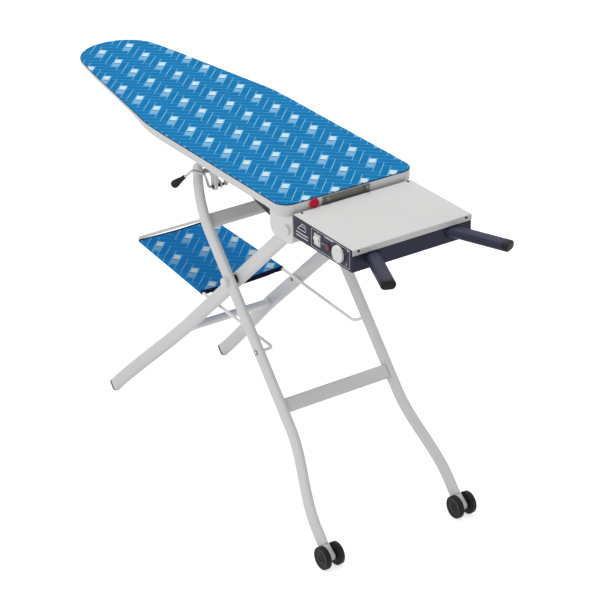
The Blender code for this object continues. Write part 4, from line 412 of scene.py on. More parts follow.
def make_fabric(name, hem=None):
    """Cotton twill with the print, or a plain dark cloth where a colour is given, which paints shade."""
    skin = bpy.data.materials.new(name)
    skin.use_nodes = True
    tree = skin.node_tree
    shader = tree.nodes["Principled BSDF"]
    coords = tree.nodes.new("ShaderNodeTexCoord").outputs["Object"]
    weft = tree.nodes.new("ShaderNodeTexWave")
    warp = tree.nodes.new("ShaderNodeTexWave")
    warp.bands_direction = "Y"
    for thread in (weft, warp):
        thread.inputs["Scale"].default_value = WEAVE_SCALE
        thread.inputs["Distortion"].default_value = 1.5
        tree.links.new(coords, thread.inputs["Vector"])
    weave = maths(tree, "MULTIPLY", weft.outputs["Fac"], warp.outputs["Fac"])
    tone = hem and blend_colours(tree, grain(tree, 60.0), shade(hem, 0.8), shade(hem, 1.25))
    tone = tone or herringbone(tree, coords, FABRIC_BLUE_AND_SHELF_LIGHT[name], *PRINTS[name])
    threads = blend_colours(tree, weave, (0.93, 0.93, 0.93, 1), (1, 1, 1, 1))
    woven = tree.nodes.new("ShaderNodeMix")
    woven.data_type = "RGBA"
    woven.blend_type = "MULTIPLY"
    woven.inputs[0].default_value = 1.0
    tree.links.new(tone, woven.inputs[6])
    tree.links.new(threads, woven.inputs[7])
    tree.links.new(woven.outputs[2], shader.inputs["Base Color"])
    feed(tree, shader.inputs["Roughness"], ramp(tree, weave, 0.80, 0.92))
    shader.inputs["Specular IOR Level"].default_value = 0.12
    bump(tree, shader, weave, WEAVE_DEPTH)
    return skin


for name in PRINTS:
    FINISHES[name] = make_fabric(name)
# The dark cloth's colour is painted shade, laid on the cover's skirt and the shelf's folded hems.
FINISHES["hem_tape"] = make_fabric("hem_tape", hem=ink(9, 18, 44))
print("fabrics:", ", ".join(PRINTS), "and hem_tape")

# %% Finishes on the frame
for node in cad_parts.values():
    for slot in node.material_slots:
        slot.material = FINISHES[slot.material.name.split(".")[0]]
print("every frame node has its finish")

# %% [markdown]
# ## Shapes from rings
# Most pieces here are skins over a row of rings: a leg is an oval carried along its bend, a wheel a
# profile turned round an axle, a lid an outline raised in steps. One helper that joins rings of
# equal length makes them all. A curve with a bevel could make the legs, but not their oval ends,
# and its mesh would be harder to finish.

# %% Finish a piece
ALONG_X, ACROSS, UP = Vector((1, 0, 0)), Vector((0, 1, 0)), Vector((0, 0, 1))
SIDES = (("near", -1), ("far", 1))
FACET_ANGLE = math.radians(38)


def piece(bm, name, body, finish, nodes=(), sharp=FACET_ANGLE):
    """Turn a bmesh into a finished piece that rides on a body and stands for some frame nodes."""
    bmesh.ops.recalc_face_normals(bm, faces=bm.faces)
    mesh = bpy.data.meshes.new(name)
    bm.to_mesh(mesh)
    bm.free()
    mesh.shade_smooth()
    mesh.set_sharp_from_angle(angle=sharp)
    mesh.materials.append(FINISHES[finish])
    made = bpy.data.objects.new(name, mesh)
    bpy.context.collection.objects.link(made)
    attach(made, body)
    if nodes:
        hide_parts(*([nodes] if isinstance(nodes, str) else nodes))
    return made


print("edges sharper than", round(math.degrees(FACET_ANGLE)), "degrees stay crisp")


# %% Ring helpers
def skin_rings(bm, rings, closed=False):
    """Join rings of equal length with quads; close the row to a band, or cap its ends."""
    loops = [[bm.verts.new(point) for point in ring] for ring in rings]
    pairs = list(zip(loops, loops[1:]))
    if closed:
        pairs.append((loops[-1], loops[0]))
    for low, high in pairs:
        for here in range(len(low)):
            after = (here + 1) % len(low)
            bm.faces.new((low[here], low[after], high[after], high[here]))
    if not closed:
        bm.faces.new(loops[0])
        bm.faces.new(loops[-1])


def axes_round(axis):
    """Two directions at right angles to an axis."""
    axis = Vector(axis).normalized()
    helper = UP if abs(axis.z) < 0.7 else ALONG_X
    first = axis.cross(helper).normalized()
    return first, axis.cross(first).normalized()


def turn_profile(bm, start, axis, profile, sides=48, bore=0.0):
    """Turn a profile of (along, radius) round an axis, solid or round a bore."""
    axis = Vector(axis).normalized()
    first, second = axes_round(axis)
    profile = list(profile)
    if bore:
        profile += [(profile[-1][0], bore), (profile[0][0], bore)]
    rings = []
    for along, radius in profile:
        middle = Vector(start) + axis * along
        turns = [math.tau * step / sides for step in range(sides)]
        rings.append([middle + (first * math.cos(t) + second * math.sin(t)) * radius for t in turns])
    skin_rings(bm, rings, closed=bool(bore))


print("rings can be skinned, and a profile turned round an axis")


# %% Ovals
def arc_points(middle, radius, start, end, steps):
    """Points on an arc in a plane; angles in degrees."""
    turns = [math.radians(start + (end - start) * step / steps) for step in range(steps + 1)]
    return [(middle[0] + radius * math.cos(turn), middle[1] + radius * math.sin(turn)) for turn in turns]


def oval(width, thickness, steps=10):
    """A flat oval: half circles joined by straight sides."""
    radius = thickness / 2
    reach = width / 2 - radius
    return arc_points((reach, 0), radius, -90, 90, steps) + arc_points((-reach, 0), radius, 90, 270, steps)


print("an oval section has", len(oval(1, 0.5)), "points")


# %% Carry a section along a route
def carry_oval(bm, route, wide, width, thickness, wall=0.0):
    """Carry a flat oval along a route; its wide side keeps to one direction."""
    outside, bore = oval(width, thickness), oval(width - 2 * wall, thickness - 2 * wall)
    rings, hollow = [], []
    for here, point in enumerate(route):
        ahead = route[min(here + 1, len(route) - 1)] - route[max(here - 1, 0)]
        thin = ahead.normalized().cross(wide).normalized()
        rings.append([point + wide * a + thin * b for a, b in outside])
        hollow.append([point + wide * a + thin * b for a, b in bore])
    if wall:
        skin_rings(bm, rings + hollow[::-1], closed=True)
    else:
        skin_rings(bm, rings)


def carry_round(bm, route, radius, sides=20):
    """Carry a round section along a route."""
    rings = []
    first, _ = axes_round(route[1] - route[0])
    for here, point in enumerate(route):
        ahead = (route[min(here + 1, len(route) - 1)] - route[max(here - 1, 0)]).normalized()
        first = (first - ahead * first.dot(ahead)).normalized()
        second = ahead.cross(first)
        turns = [math.tau * step / sides for step in range(sides)]
        rings.append([point + (first * math.cos(t) + second * math.sin(t)) * radius for t in turns])
    skin_rings(bm, rings)


def round_corners(points, radius, steps=8):
    """Round the inner corners of a route with short curves."""
    route = [Vector(points[0])]
    for before, corner, after in zip(points, points[1:], points[2:]):
        corner = Vector(corner)
        back = Vector(before) - corner
        onward = Vector(after) - corner
        reach = min(radius, back.length / 2, onward.length / 2)
        start, end = corner + back.normalized() * reach, corner + onward.normalized() * reach
        for step in range(steps + 1):
            t = step / steps
            route.append(start * (1 - t) ** 2 + corner * 2 * t * (1 - t) + end * t ** 2)
    route.append(Vector(points[-1]))
    return route


def ease(share):
    """Rise smoothly from 0 to 1."""
    share = min(max(share, 0), 1)
    return share * share * (3 - 2 * share)


print("a quarter of the way along, an ease has risen to", ease(0.25))

# %% [markdown]
# ## The board's outline
# The board is straight along nearly half of its length, then tapers evenly to a round nose. A few
# measured widths carry the sweep, and a smooth curve through them takes away the corners that the
# coarser frame has. Everything that follows the board asks this one outline.

# %% Outline
BOARD_LENGTH, BOARD_WIDTH, BOARD_TOP = 1.16, 0.392, 0.888
END_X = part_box("board_cover")[1][0]
HALF_WIDTH = BOARD_WIDTH / 2
CORNER_RADIUS, NOSE_LENGTH, NOSE_SHARE = 0.036, 0.105, 0.594
TAPER_SHARES = (     # share of the board's length from the wide end, share of its width
    (0.05, 1), (0.14, 1), (0.27, 1), (0.40, 1), (0.474, 1), (0.535, 0.984), (0.595, 0.926),
    (0.655, 0.867), (0.716, 0.807), (0.785, 0.740), (0.853, 0.673),
)
NOSE_TURNS = range(11, 82, 7)     # degrees round the nose's oval, from the side to the tip
TIP_SHARE = 0.03
SMOOTH_STEPS = 6


def smooth_through(points, steps):
    """A Catmull-Rom curve through points."""
    padded = [points[0] * 2 - points[1], *points, points[-1] * 2 - points[-2]]
    curve = []
    for a, b, c, d in zip(padded, padded[1:], padded[2:], padded[3:]):
        for step in range(steps):
            t = step / steps
            curve.append(0.5 * (2 * b + (c - a) * t + (2 * a - 5 * b + 4 * c - d) * t ** 2
                                + (3 * b - a - 3 * c + d) * t ** 3))
    return curve + [points[-1]]


def edge_line():
    """The near half of the edge as (distance from the wide end, half width)."""
    corner = [Vector((CORNER_RADIUS - a, HALF_WIDTH - CORNER_RADIUS + b))
              for a, b in arc_points((0, 0), CORNER_RADIUS, 0, 90, 14)]
    side = [Vector((BOARD_LENGTH * along, HALF_WIDTH * wide)) for along, wide in TAPER_SHARES]
    nose = [Vector((BOARD_LENGTH - NOSE_LENGTH * (1 - math.sin(math.radians(turn))),
                    HALF_WIDTH * NOSE_SHARE * math.cos(math.radians(turn)))) for turn in NOSE_TURNS]
    nose.append(Vector((BOARD_LENGTH, HALF_WIDTH * NOSE_SHARE * TIP_SHARE)))
    return corner + smooth_through([corner[-1], *side, *nose], SMOOTH_STEPS)[1:]


EDGE = edge_line()
COLUMNS = 44


def board_ring(inset, height):
    """The board's whole edge moved inwards, as a ring of points; height is a rule of x."""
    near = [Vector((END_X - along, -half)) for along, half in EDGE]
    far = [Vector((p.x, -p.y)) for p in near[::-1]]

    def between(a, b):
        return [a.lerp(b, column / COLUMNS) for column in range(1, COLUMNS)]

    flat = near + between(near[-1], far[0]) + far + between(far[-1], near[0])
    ring = []
    for here, point in enumerate(flat):
        along = (flat[(here + 1) % len(flat)] - flat[here - 1]).normalized()
        moved = point + Vector((along.y, -along.x)) * inset
        ring.append(Vector((moved.x, moved.y, height(moved.x))))
    return ring


print("outline:", len(EDGE), "points a side")

# %% [markdown]
# ## The cover
# The cover is one sheet of printed cotton, drawn tight over the pad's rounded edge and turned under
# at a short skirt. The top is a grid that follows the outline, because fabric bends best on even
# quads; the edge is a few rings that roll over it. A cloth simulation would only relax a tight
# sheet back to this shape, so the slight crown and the small puckers round the skirt are written in.

# %% The cover's height and hem
COVER_EDGE, SKIRT, TUCK = 0.0016, 0.0036, 0.0012
CROWN, UNEVEN, UNEVEN_SCALE = 0.0005, 0.00035, 9
PUCKER, PUCKER_TURN = 0.0004, 1.9     # depth in metres, then radians from point to point
COVER_HEART = Vector((END_X - 0.5, 0, 0))


def cover_height(x, y):
    """The cover's top: a slight crown with the soft unevenness of felt under cotton."""
    dip = CROWN * (y / HALF_WIDTH) ** 2
    spot = Vector((x * UNEVEN_SCALE, y * UNEVEN_SCALE, 0))
    return BOARD_TOP - dip - UNEVEN * (1 + noise.noise(spot))


def hem_profile():
    """How far in and how far down the sheet lies as it rolls over the edge and tucks under."""
    turns = [math.radians(turn) for turn in (18, 36, 54, 72, 90)]
    roll = [(COVER_EDGE * (1 - math.sin(turn)), COVER_EDGE * (1 - math.cos(turn))) for turn in turns]
    tuck = [(0.0003, SKIRT), (TUCK, SKIRT), (0.0015, SKIRT * 0.8)]
    return roll + [(0.0, SKIRT * 0.6), (0.0, SKIRT * 0.85)] + tuck


print("the cover's edge drops", round(SKIRT * 1000, 1), "mm in", len(hem_profile()), "rings")


# %% The printed sheet
def make_cover():
    """The printed sheet: its top, its rolled edge and its tucked skirt."""
    bm = bmesh.new()
    rim = board_ring(COVER_EDGE, lambda x: BOARD_TOP)
    count = len(EDGE)
    rows = []
    for here in range(count):
        near, far = rim[here], rim[2 * count + COLUMNS - 2 - here]
        row = []
        for column in range(COLUMNS + 1):
            spot = near.lerp(far, column / COLUMNS)
            row.append(bm.verts.new((spot.x, spot.y, cover_height(spot.x, spot.y))))
        rows.append(row)
    for first, second in zip(rows, rows[1:]):
        for column in range(COLUMNS):
            bm.faces.new((first[column], first[column + 1], second[column + 1], second[column]))
    loop = [row[0] for row in rows] + rows[-1][1:-1]
    loop += [row[-1] for row in rows[::-1]] + rows[0][-2:0:-1]
    for inset, down in hem_profile():
        flat = board_ring(inset, lambda x: 0)
        drop = COVER_EDGE * 1.01
        ring = []
        for here, spot in enumerate(flat):
            share = min(down / drop, 1)
            top = cover_height(spot.x, spot.y) * (1 - share) + BOARD_TOP * share
            wave = PUCKER * share * math.sin(here * PUCKER_TURN) * (1 if here % 3 else 0.3)
            inward = (COVER_HEART - spot).normalized()
            spot = spot + inward * (max(wave, 0) if down > COVER_EDGE else 0)
            ring.append(bm.verts.new((spot.x, spot.y, top - down)))
        for here in range(len(loop)):
            after = (here + 1) % len(loop)
            bm.faces.new((loop[here], loop[after], ring[after], ring[here]))
        loop = ring
    return piece(bm, "cover", "table", "cover_fabric", "board_cover")


def ring_area(ring):
    """The area inside a flat ring of points."""
    return abs(sum(a.x * b.y - b.x * a.y for a, b in zip(ring, ring[1:] + ring[:1]))) / 2


cover = make_cover()
cut_edge = SKIRT + TUCK
cover_area = ring_area(board_ring(-cut_edge, lambda x: 0))
print("cover:", len(cover.data.polygons), "faces, cut area", round(cover_area, 4))

# %% [markdown]
# ## Pad and painted skirt shade
# Under the sheet lies a pad of pressed felt, soft only in its few millimetres, and round the sheet's lower
# edge runs a band of dark tape that paints the shade under the skirt. The pad is a low closed form with a
# rounded shoulder. It is too thin for a pressure simulation, whose remesh is as coarse as the felt is
# thick, so it is modelled.

# %% Pad
PAD_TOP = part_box("felt_pad")[1][2]
PAD_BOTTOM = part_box("felt_pad")[0][2]
PAD_INSET, PAD_ROUND, PAD_CHAMFER = 0.0021, 0.002, 0.001


def level(height):
    """The same height all along the board."""
    return lambda x: height


def cap_board(bm, ring_low, ring_high):
    """Close a board-shaped solid with cross strips under its lowest and over its highest ring."""
    count = len(EDGE)
    for ring in (ring_low, ring_high):
        near, far = ring[:count], ring[count + COLUMNS - 1:2 * count + COLUMNS - 1][::-1]
        nose, end = ring[count:count + COLUMNS - 1], ring[2 * count + COLUMNS - 1:]
        for here in range(1, count - 2):
            bm.faces.new((near[here], near[here + 1], far[here + 1], far[here]))
        bm.faces.new([near[1], near[0], *end[::-1], far[0], far[1]])
        bm.faces.new([near[-2], near[-1], *nose, far[-1], far[-2]])


def board_solid(bm, rings):
    """A solid over the board's outline from rings of (inset, height rule), bottom to top."""
    loops = [[bm.verts.new(point) for point in board_ring(inset, height)] for inset, height in rings]
    for low, high in zip(loops, loops[1:]):
        for here in range(len(low)):
            after = (here + 1) % len(low)
            bm.faces.new((low[here], low[after], high[after], high[here]))
    cap_board(bm, loops[0], loops[-1])


def make_pad():
    """The felt pad with its rounded shoulder."""
    bm = bmesh.new()
    rings = [(PAD_INSET + PAD_CHAMFER, level(PAD_BOTTOM)), (PAD_INSET, level(PAD_BOTTOM + PAD_CHAMFER))]
    for turn in (math.radians(t) for t in (0, 30, 60, 90)):
        rings.append((PAD_INSET + PAD_ROUND * (1 - math.cos(turn)),
                      level(PAD_TOP - PAD_ROUND * (1 - math.sin(turn)))))
    board_solid(bm, rings)
    return piece(bm, "pad", "table", "pad_felt", "felt_pad")


pad = make_pad()
print("pad:", round((PAD_TOP - PAD_BOTTOM) * 1000, 1), "mm of felt")

# %% Painted shade under the skirt
TAPE_PROUD = 0.0004


def make_skirt_shade_band():
    """A narrow dark band round the skirt's lower edge, painted shade where the skirt turns under."""
    bm = bmesh.new()
    low, high = BOARD_TOP - SKIRT - 0.0002, BOARD_TOP - SKIRT * 0.40
    profile = [(0.0004, low), (-TAPE_PROUD, low + 0.0005), (-TAPE_PROUD, high - 0.0005),
               (0.0002, high), (0.0006, high)]
    skin_rings(bm, [board_ring(inset, level(z)) for inset, z in profile], closed=True)
    return piece(bm, "cover_skirt_shade", "table", "hem_tape")


skirt_shade_band = make_skirt_shade_band()
print("the cover lies on the pad and carries its binding")

# %% [markdown]
# ## The tray
# Under the pad a white steel pan carries the board. It is deep at the wide end, where it holds the
# heater and feeds the fan, and thins towards the nose. Its skin is the outline again, ring by ring,
# with heights that follow the pan's depth and a rounded lower edge that catches a line of light.

# %% Tray
TRAY_DEPTHS = (0.0345, 0.0262, 0.0262, 0.0150)        # under the board's top
TRAY_STOPS = tuple(share * BOARD_LENGTH for share in (0.014, 0.060, 0.474, 0.655))
TRAY_PROUD, TRAY_WALL, TRAY_ROUND, TRAY_FLANGE = 0.0006, 0.0018, 0.005, 0.009
TRAY_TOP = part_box("board_tray")[1][2]
RIM_TOP = BOARD_TOP - SKIRT - 0.0005


def tray_under(lift):
    """A height rule: the pan's underside, raised by a lift, with its bends eased."""
    def height(x):
        along = END_X - x
        depth = TRAY_DEPTHS[0]
        for here in range(3):
            share = (along - TRAY_STOPS[here]) / (TRAY_STOPS[here + 1] - TRAY_STOPS[here])
            depth += (TRAY_DEPTHS[here + 1] - TRAY_DEPTHS[here]) * ease(share)
        return BOARD_TOP - depth + lift
    return height


def make_tray():
    """The pan, with a rolled rim and a lip that carries the perforated plate."""
    bm = bmesh.new()
    turns = [math.radians(t) for t in range(0, 91, 15)]
    outside = [(TRAY_ROUND * (1 - math.sin(t)) - TRAY_PROUD,
                tray_under(TRAY_ROUND * (1 - math.cos(t)))) for t in turns]
    rim = [(-TRAY_PROUD, level(RIM_TOP - 0.0004)), (-TRAY_PROUD + 0.0003, level(RIM_TOP)),
           (-TRAY_PROUD + 0.0012, level(RIM_TOP)), (-TRAY_PROUD + 0.0014, level(RIM_TOP - 0.0003)),
           (-TRAY_PROUD + 0.0014, level(TRAY_TOP)), (TRAY_FLANGE, level(TRAY_TOP)),
           (TRAY_FLANGE, level(TRAY_TOP - TRAY_WALL)), (TRAY_WALL, level(TRAY_TOP - TRAY_WALL))]
    inside_wall = [(TRAY_WALL, tray_under(TRAY_ROUND + TRAY_WALL)),
                   (TRAY_WALL + TRAY_ROUND, tray_under(TRAY_WALL))]
    board_solid(bm, outside + rim + inside_wall)
    return piece(bm, "tray", "table", "white_paint", "board_tray")


tray = make_tray()
print("tray:", len(tray.data.polygons), "faces")

# %% [markdown]
# ## Softened frame pieces
# Boxes, brackets and rails already have the right shape in the frame, but their edges are knife
# sharp, and a sharp edge never catches light. A copy of the frame piece with its flat faces merged
# and a small bevel on every hard edge looks moulded or folded. Rebuilding each by hand would repeat
# the frame's sizes for no gain.

# %% Soften the hard pieces
FLAT_ANGLE, CRISP_ANGLE, BEVEL_ANGLE = math.radians(1.5), math.radians(32), math.radians(40)


def softened(node, body, finish, width):
    """A copy of a frame piece with its hard edges rounded."""
    bm = bmesh.new()
    bm.from_mesh(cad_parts[node].data)
    bmesh.ops.remove_doubles(bm, verts=bm.verts, dist=0.00002)
    bmesh.ops.dissolve_limit(bm, angle_limit=FLAT_ANGLE, verts=bm.verts, edges=bm.edges)
    made = piece(bm, f"{node}_soft", body, finish, node, sharp=CRISP_ANGLE)
    bevel = made.modifiers.new("soft edges", "BEVEL")
    bevel.width = width
    bevel.segments = 2
    bevel.limit_method = "ANGLE"
    bevel.angle_limit = BEVEL_ANGLE
    bevel.harden_normals = True


SOFT_PIECES = (      # node, body, finish, width of the bevel
    ("rest_housing", "table", "navy_paint", 0.0018),
    ("control_panel", "table", "navy_paint", 0.0004),
    ("switch_body", "table", "white_plastic", 0.0005),
    ("switch_rocker", "rocker", "white_plastic", 0.0007),
    ("end_plate", "table", "dull_steel", 0.0004),
    ("rest_carrier", "table", "zinc_steel", 0.0012),
    ("hinge_bracket_near", "table", "white_plastic", 0.0020),
    ("hinge_bracket_far", "table", "white_plastic", 0.0020),
    ("latch_bracket", "table", "white_plastic", 0.0008),
    ("height_rail_near", "table", "pale_zinc", 0.0005),
    ("height_rail_far", "table", "pale_zinc", 0.0005),
    ("latch_pawl", "lever", "pale_zinc", 0.0005),
    ("blower_housing", "table", "dark_plastic", 0.0008),
    ("outlet_grille", "table", "dark_plastic", 0.0003),
    ("thermostat", "table", "dark_plastic", 0.0010),
)
for node, body, finish, width in SOFT_PIECES:
    softened(node, body, finish, width)
print("softened:", len(SOFT_PIECES), "pieces")

# %% [markdown]
# ## The leg tubes
# The legs are flat oval steel tubes. Seen from the side each is straight; seen from the front it
# sweeps outwards near the floor, which makes the stance wide and the top slim. The oval is carried
# along the same middle line as the frame's, with enough steps that the sweep reads as bent steel.

# %% The legs' measures
HINGE_Z, HINGE_SETBACK = BOARD_TOP - 0.086, 0.038
FEET_ANGLE, WHEEL_ANGLE = math.radians(43.9), math.radians(48.6)
HINGE = Vector((END_X - HINGE_SETBACK, 0, HINGE_Z))
FEET_DOWN = Vector((-math.cos(FEET_ANGLE), 0, -math.sin(FEET_ANGLE)))
FEET_SIDE = Vector((math.sin(FEET_ANGLE), 0, -math.cos(FEET_ANGLE)))
WHEEL_DOWN = Vector((math.cos(WHEEL_ANGLE), 0, -math.sin(WHEEL_ANGLE)))
WHEEL_SIDE = Vector((math.sin(WHEEL_ANGLE), 0, math.cos(WHEEL_ANGLE)))
TUBE_WIDTH, TUBE_THICKNESS, TUBE_WALL = 0.038, 0.018, 0.0014
FEET_LENGTH = HINGE_Z / math.sin(FEET_ANGLE)
FOOT_END = FEET_LENGTH - 0.0106
FEET_TUBE_START, FEET_TUBE_END = 0.026, FOOT_END - 0.028
FEET_BEND = (FEET_LENGTH * 0.5888, FEET_TUBE_END - 0.005)
FEET_SPREAD = (0.1385, 0.178)
SCISSOR = HINGE + FEET_DOWN * FEET_LENGTH * 0.2905
WHEEL_RADIUS, AXLE_OFFSET = 0.030, 0.0088
AXLE_DISTANCE = (SCISSOR.z + AXLE_OFFSET * math.cos(WHEEL_ANGLE) - WHEEL_RADIUS) / math.sin(WHEEL_ANGLE)
AXLE = SCISSOR + WHEEL_DOWN * AXLE_DISTANCE + WHEEL_SIDE * AXLE_OFFSET
WHEEL_BEND = (AXLE_DISTANCE * 0.5488, AXLE_DISTANCE * 0.8975)
WHEEL_SPREAD = (0.165, 0.204)
SLIDE_BAR = (BOARD_TOP - 0.103 - SCISSOR.z) / math.sin(WHEEL_ANGLE)
TUBE_TOP = SLIDE_BAR + 0.021
TOP_BEND = SLIDE_BAR * 0.4674
TOP_RISE, TOP_DRAW_IN = 0.018, 0.0387     # this far above the bar the legs lean in by this much
TOP_RADIUS = (SLIDE_BAR + TOP_RISE - TOP_BEND) ** 2 / (2 * TOP_DRAW_IN)
LEG_END_TUBE = 0.030
print("legs from hinge", [round(v, 4) for v in HINGE], "scissor", [round(v, 4) for v in SCISSOR])


# %% The legs' middle lines
def feet_line(side, down):
    """A point on an inner leg's middle line, measured down from the hinge."""
    share = ease((down - FEET_BEND[0]) / (FEET_BEND[1] - FEET_BEND[0]))
    spread = FEET_SPREAD[0] + (FEET_SPREAD[1] - FEET_SPREAD[0]) * share
    return HINGE + FEET_DOWN * down + ACROSS * side * spread


def wheel_line(side, down):
    """A point on an outer leg's middle line, measured down from the scissor's pivot."""
    share = ease((down - WHEEL_BEND[0]) / (WHEEL_BEND[1] - WHEEL_BEND[0]))
    spread = WHEEL_SPREAD[0] + (WHEEL_SPREAD[1] - WHEEL_SPREAD[0]) * share
    above = max(-down - TOP_BEND, 0)
    return SCISSOR + WHEEL_DOWN * down + ACROSS * side * (spread - above ** 2 / (2 * TOP_RADIUS))


def steps_between(start, end, count):
    """Evenly spaced distances, with both ends."""
    return [start + (end - start) * step / count for step in range(count + 1)]


print("inner leg ends at", [round(v, 4) for v in feet_line(-1, FOOT_END)])

# %% Legs
SOLE_PLUG = 0.0085                        # how much of the rubber plug shows
HOLE_DOWN, HOLE_ASIDE = 0.5523, 0.0043    # a stopped hole in each inner leg


def cut_level(bm, height):
    """Cut a closed form level just over the floor and close it again."""
    bmesh.ops.bisect_plane(bm, geom=bm.verts[:] + bm.edges[:] + bm.faces[:], plane_co=(0, 0, height),
                           plane_no=(0, 0, -1), clear_outer=True)
    bmesh.ops.holes_fill(bm, edges=[edge for edge in bm.edges if edge.is_boundary], sides=0)


def make_legs():
    """Both pairs of legs, hollow at their ends."""
    tube = (TUBE_WIDTH, TUBE_THICKNESS, TUBE_WALL)
    for name, side in SIDES:
        bm = bmesh.new()
        stations = [FEET_TUBE_START, *steps_between(*FEET_BEND, 28), FOOT_END - SOLE_PLUG]
        carry_oval(bm, [feet_line(side, down) for down in stations], FEET_SIDE, *tube)
        cut_level(bm, 0.0005)
        piece(bm, f"inner_leg_{name}", "feet_frame", "white_paint", f"feet_leg_{name}")
        bm = bmesh.new()
        stations = [*steps_between(-TUBE_TOP, -TOP_BEND, 14), *steps_between(*WHEEL_BEND, 28),
                    AXLE_DISTANCE - LEG_END_TUBE]
        carry_oval(bm, [wheel_line(side, down) for down in stations], WHEEL_SIDE, *tube)
        piece(bm, f"outer_leg_{name}", "wheel_frame", "white_paint", f"wheel_leg_{name}")


def make_plugs():
    """A small plug on each inner leg's inner face, where a hole is stopped."""
    bm = bmesh.new()
    for _, side in SIDES:
        seat = feet_line(side, HOLE_DOWN) - ACROSS * side * TUBE_THICKNESS / 2 - FEET_SIDE * HOLE_ASIDE
        turn_profile(bm, seat + ACROSS * side * 0.0004, -ACROSS * side,
                     [(0, 0.0050), (0.0010, 0.0050), (0.0013, 0.0044)], sides=24, bore=0.0030)
    return bm


make_legs()
piece(make_plugs(), "leg_plugs", "feet_frame", "dark_plastic")
print("four legs and two plugs")

# %% [markdown]
# ## Bars across the legs
# Three lengths of the same oval tube tie the legs, welded in with their wide side along the leg, and
# a round steel bar joins the outer legs' tops and runs just below the rails under the board. Each
# welded end gets a small bead, the ring of raised metal that a painted weld leaves, because a tube
# that simply stops looks glued on.

# %% Crossbars
WELD = 0.0016


def make_bar(node, body, middle, wide):
    """A length of oval tube across the table, as long as the frame's, with a bead at each end."""
    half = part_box(node)[1][1]
    bm = bmesh.new()
    carry_oval(bm, [middle - ACROSS * half, middle + ACROSS * half], wide, TUBE_WIDTH, TUBE_THICKNESS)
    piece(bm, node.replace("crossbar", "bar"), body, "white_paint", node)
    beads = bmesh.new()
    thin = ACROSS.cross(wide)
    for side in (-1, 1):
        rings = []
        for turn in range(0, 360, 45):
            grow = 2 * WELD * math.cos(math.radians(turn))
            shift = WELD * math.sin(math.radians(turn)) - WELD
            section = oval(TUBE_WIDTH + grow, TUBE_THICKNESS + grow)
            heart = middle + ACROSS * side * (half + shift)
            rings.append([heart + wide * a + thin * b for a, b in section])
        skin_rings(beads, rings, closed=True)
    piece(beads, node.replace("crossbar", "welds"), body, "white_paint")


make_bar("feet_crossbar", "feet_frame", HINGE + FEET_DOWN * FEET_LENGTH * 0.6213, FEET_DOWN)
make_bar("upper_crossbar", "wheel_frame", SCISSOR - WHEEL_DOWN * SLIDE_BAR * 0.5573, WHEEL_DOWN)
make_bar("lower_crossbar", "wheel_frame", SCISSOR + WHEEL_DOWN * AXLE_DISTANCE * 0.4717, WHEEL_DOWN)
SLIDE = SCISSOR - WHEEL_DOWN * SLIDE_BAR


def make_slide_bar():
    """The polished bar just below the board's rails."""
    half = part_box("slide_bar")[1][1]
    bm = bmesh.new()
    turn_profile(bm, SLIDE - ACROSS * half, ACROSS, (
        (0, 0.0060), (0.0010, 0.0070), (2 * half - 0.0010, 0.0070), (2 * half, 0.0060)), 32)
    piece(bm, "sliding_bar", "wheel_frame", "zinc_steel", "slide_bar")


make_slide_bar()
print("three welded bars and the sliding bar")

# %% [markdown]
# ## Feet and wheels
# The inner legs end in thin black rubber plugs, cut level where they meet the floor. The outer legs
# run on four plain disc wheels in pairs, each with a rounded tread and a shallow dish, and a slim
# white end between the discs carries the axle. The wheels are profiles turned round that axle.

# %% Rubber feet
def make_foot(name, side):
    """A rubber plug with a rim as wide as the tube, a rounded end and a level sole."""
    bm = bmesh.new()
    rings = []
    stations = ((FEET_TUBE_END, -2 * TUBE_WALL - 0.0006), (FOOT_END - SOLE_PLUG, -2 * TUBE_WALL - 0.0006),
                (FOOT_END - SOLE_PLUG + 0.0003, 0.0004), (FOOT_END - 0.0015, 0.0006), (FOOT_END, -0.0035))
    for down, grow in stations:
        point = feet_line(side, down)
        ahead = feet_line(side, down + 0.002) - feet_line(side, down - 0.002)
        thin = ahead.normalized().cross(FEET_SIDE).normalized()
        section = oval(TUBE_WIDTH + grow, TUBE_THICKNESS + grow)
        rings.append([point + FEET_SIDE * a + thin * b for a, b in section])
    skin_rings(bm, rings)
    cut_level(bm, 0.0002)
    piece(bm, f"rubber_foot_{name}", "feet_frame", "black_plastic", f"foot_cap_{name}")


for name, side in SIDES:
    make_foot(name, side)
print("two rubber feet on the floor")

# %% Wheels
WHEEL_THICKNESS, WHEEL_SPACING, TREAD_ROUND = 0.015, 0.039, 0.0035


def wheel_profile():
    """From the hub on the inner face over the tread, then down the dished outer face."""
    half = WHEEL_THICKNESS / 2
    tread = arc_points((0, 0), TREAD_ROUND, -90, 90, 6)
    inner = [(-half - 0.0028, 0.0065), (-half - 0.0028, 0.0100), (-half + 0.0002, 0.0108),
             (-half, 0.0250)]
    over = [(b + (half - TREAD_ROUND if b > 0 else -half + TREAD_ROUND), WHEEL_RADIUS - TREAD_ROUND + a)
            for a, b in tread]
    outer = [(half, 0.0255), (half - 0.0012, 0.0235), (half - 0.0014, 0.0120),
             (half - 0.0004, 0.0100), (half - 0.0002, 0.0065), (half - 0.0030, 0.0060)]
    return inner + over + outer


def make_wheels():
    """Two discs on each outer leg, dished faces outwards."""
    for name, side in SIDES:
        for place, away in (("outer", side), ("inner", -side)):
            centre = AXLE + ACROSS * (side * WHEEL_SPREAD[1] + away * WHEEL_SPACING / 2)
            bm = bmesh.new()
            turn_profile(bm, centre, ACROSS * away, wheel_profile(), 64, bore=0.0038)
            node = f"wheel_{name}_{place}"
            piece(bm, f"disc_{node}", node, "black_plastic", node, sharp=math.radians(60))


make_wheels()
print("four wheels on two axles at", [round(v, 4) for v in AXLE])


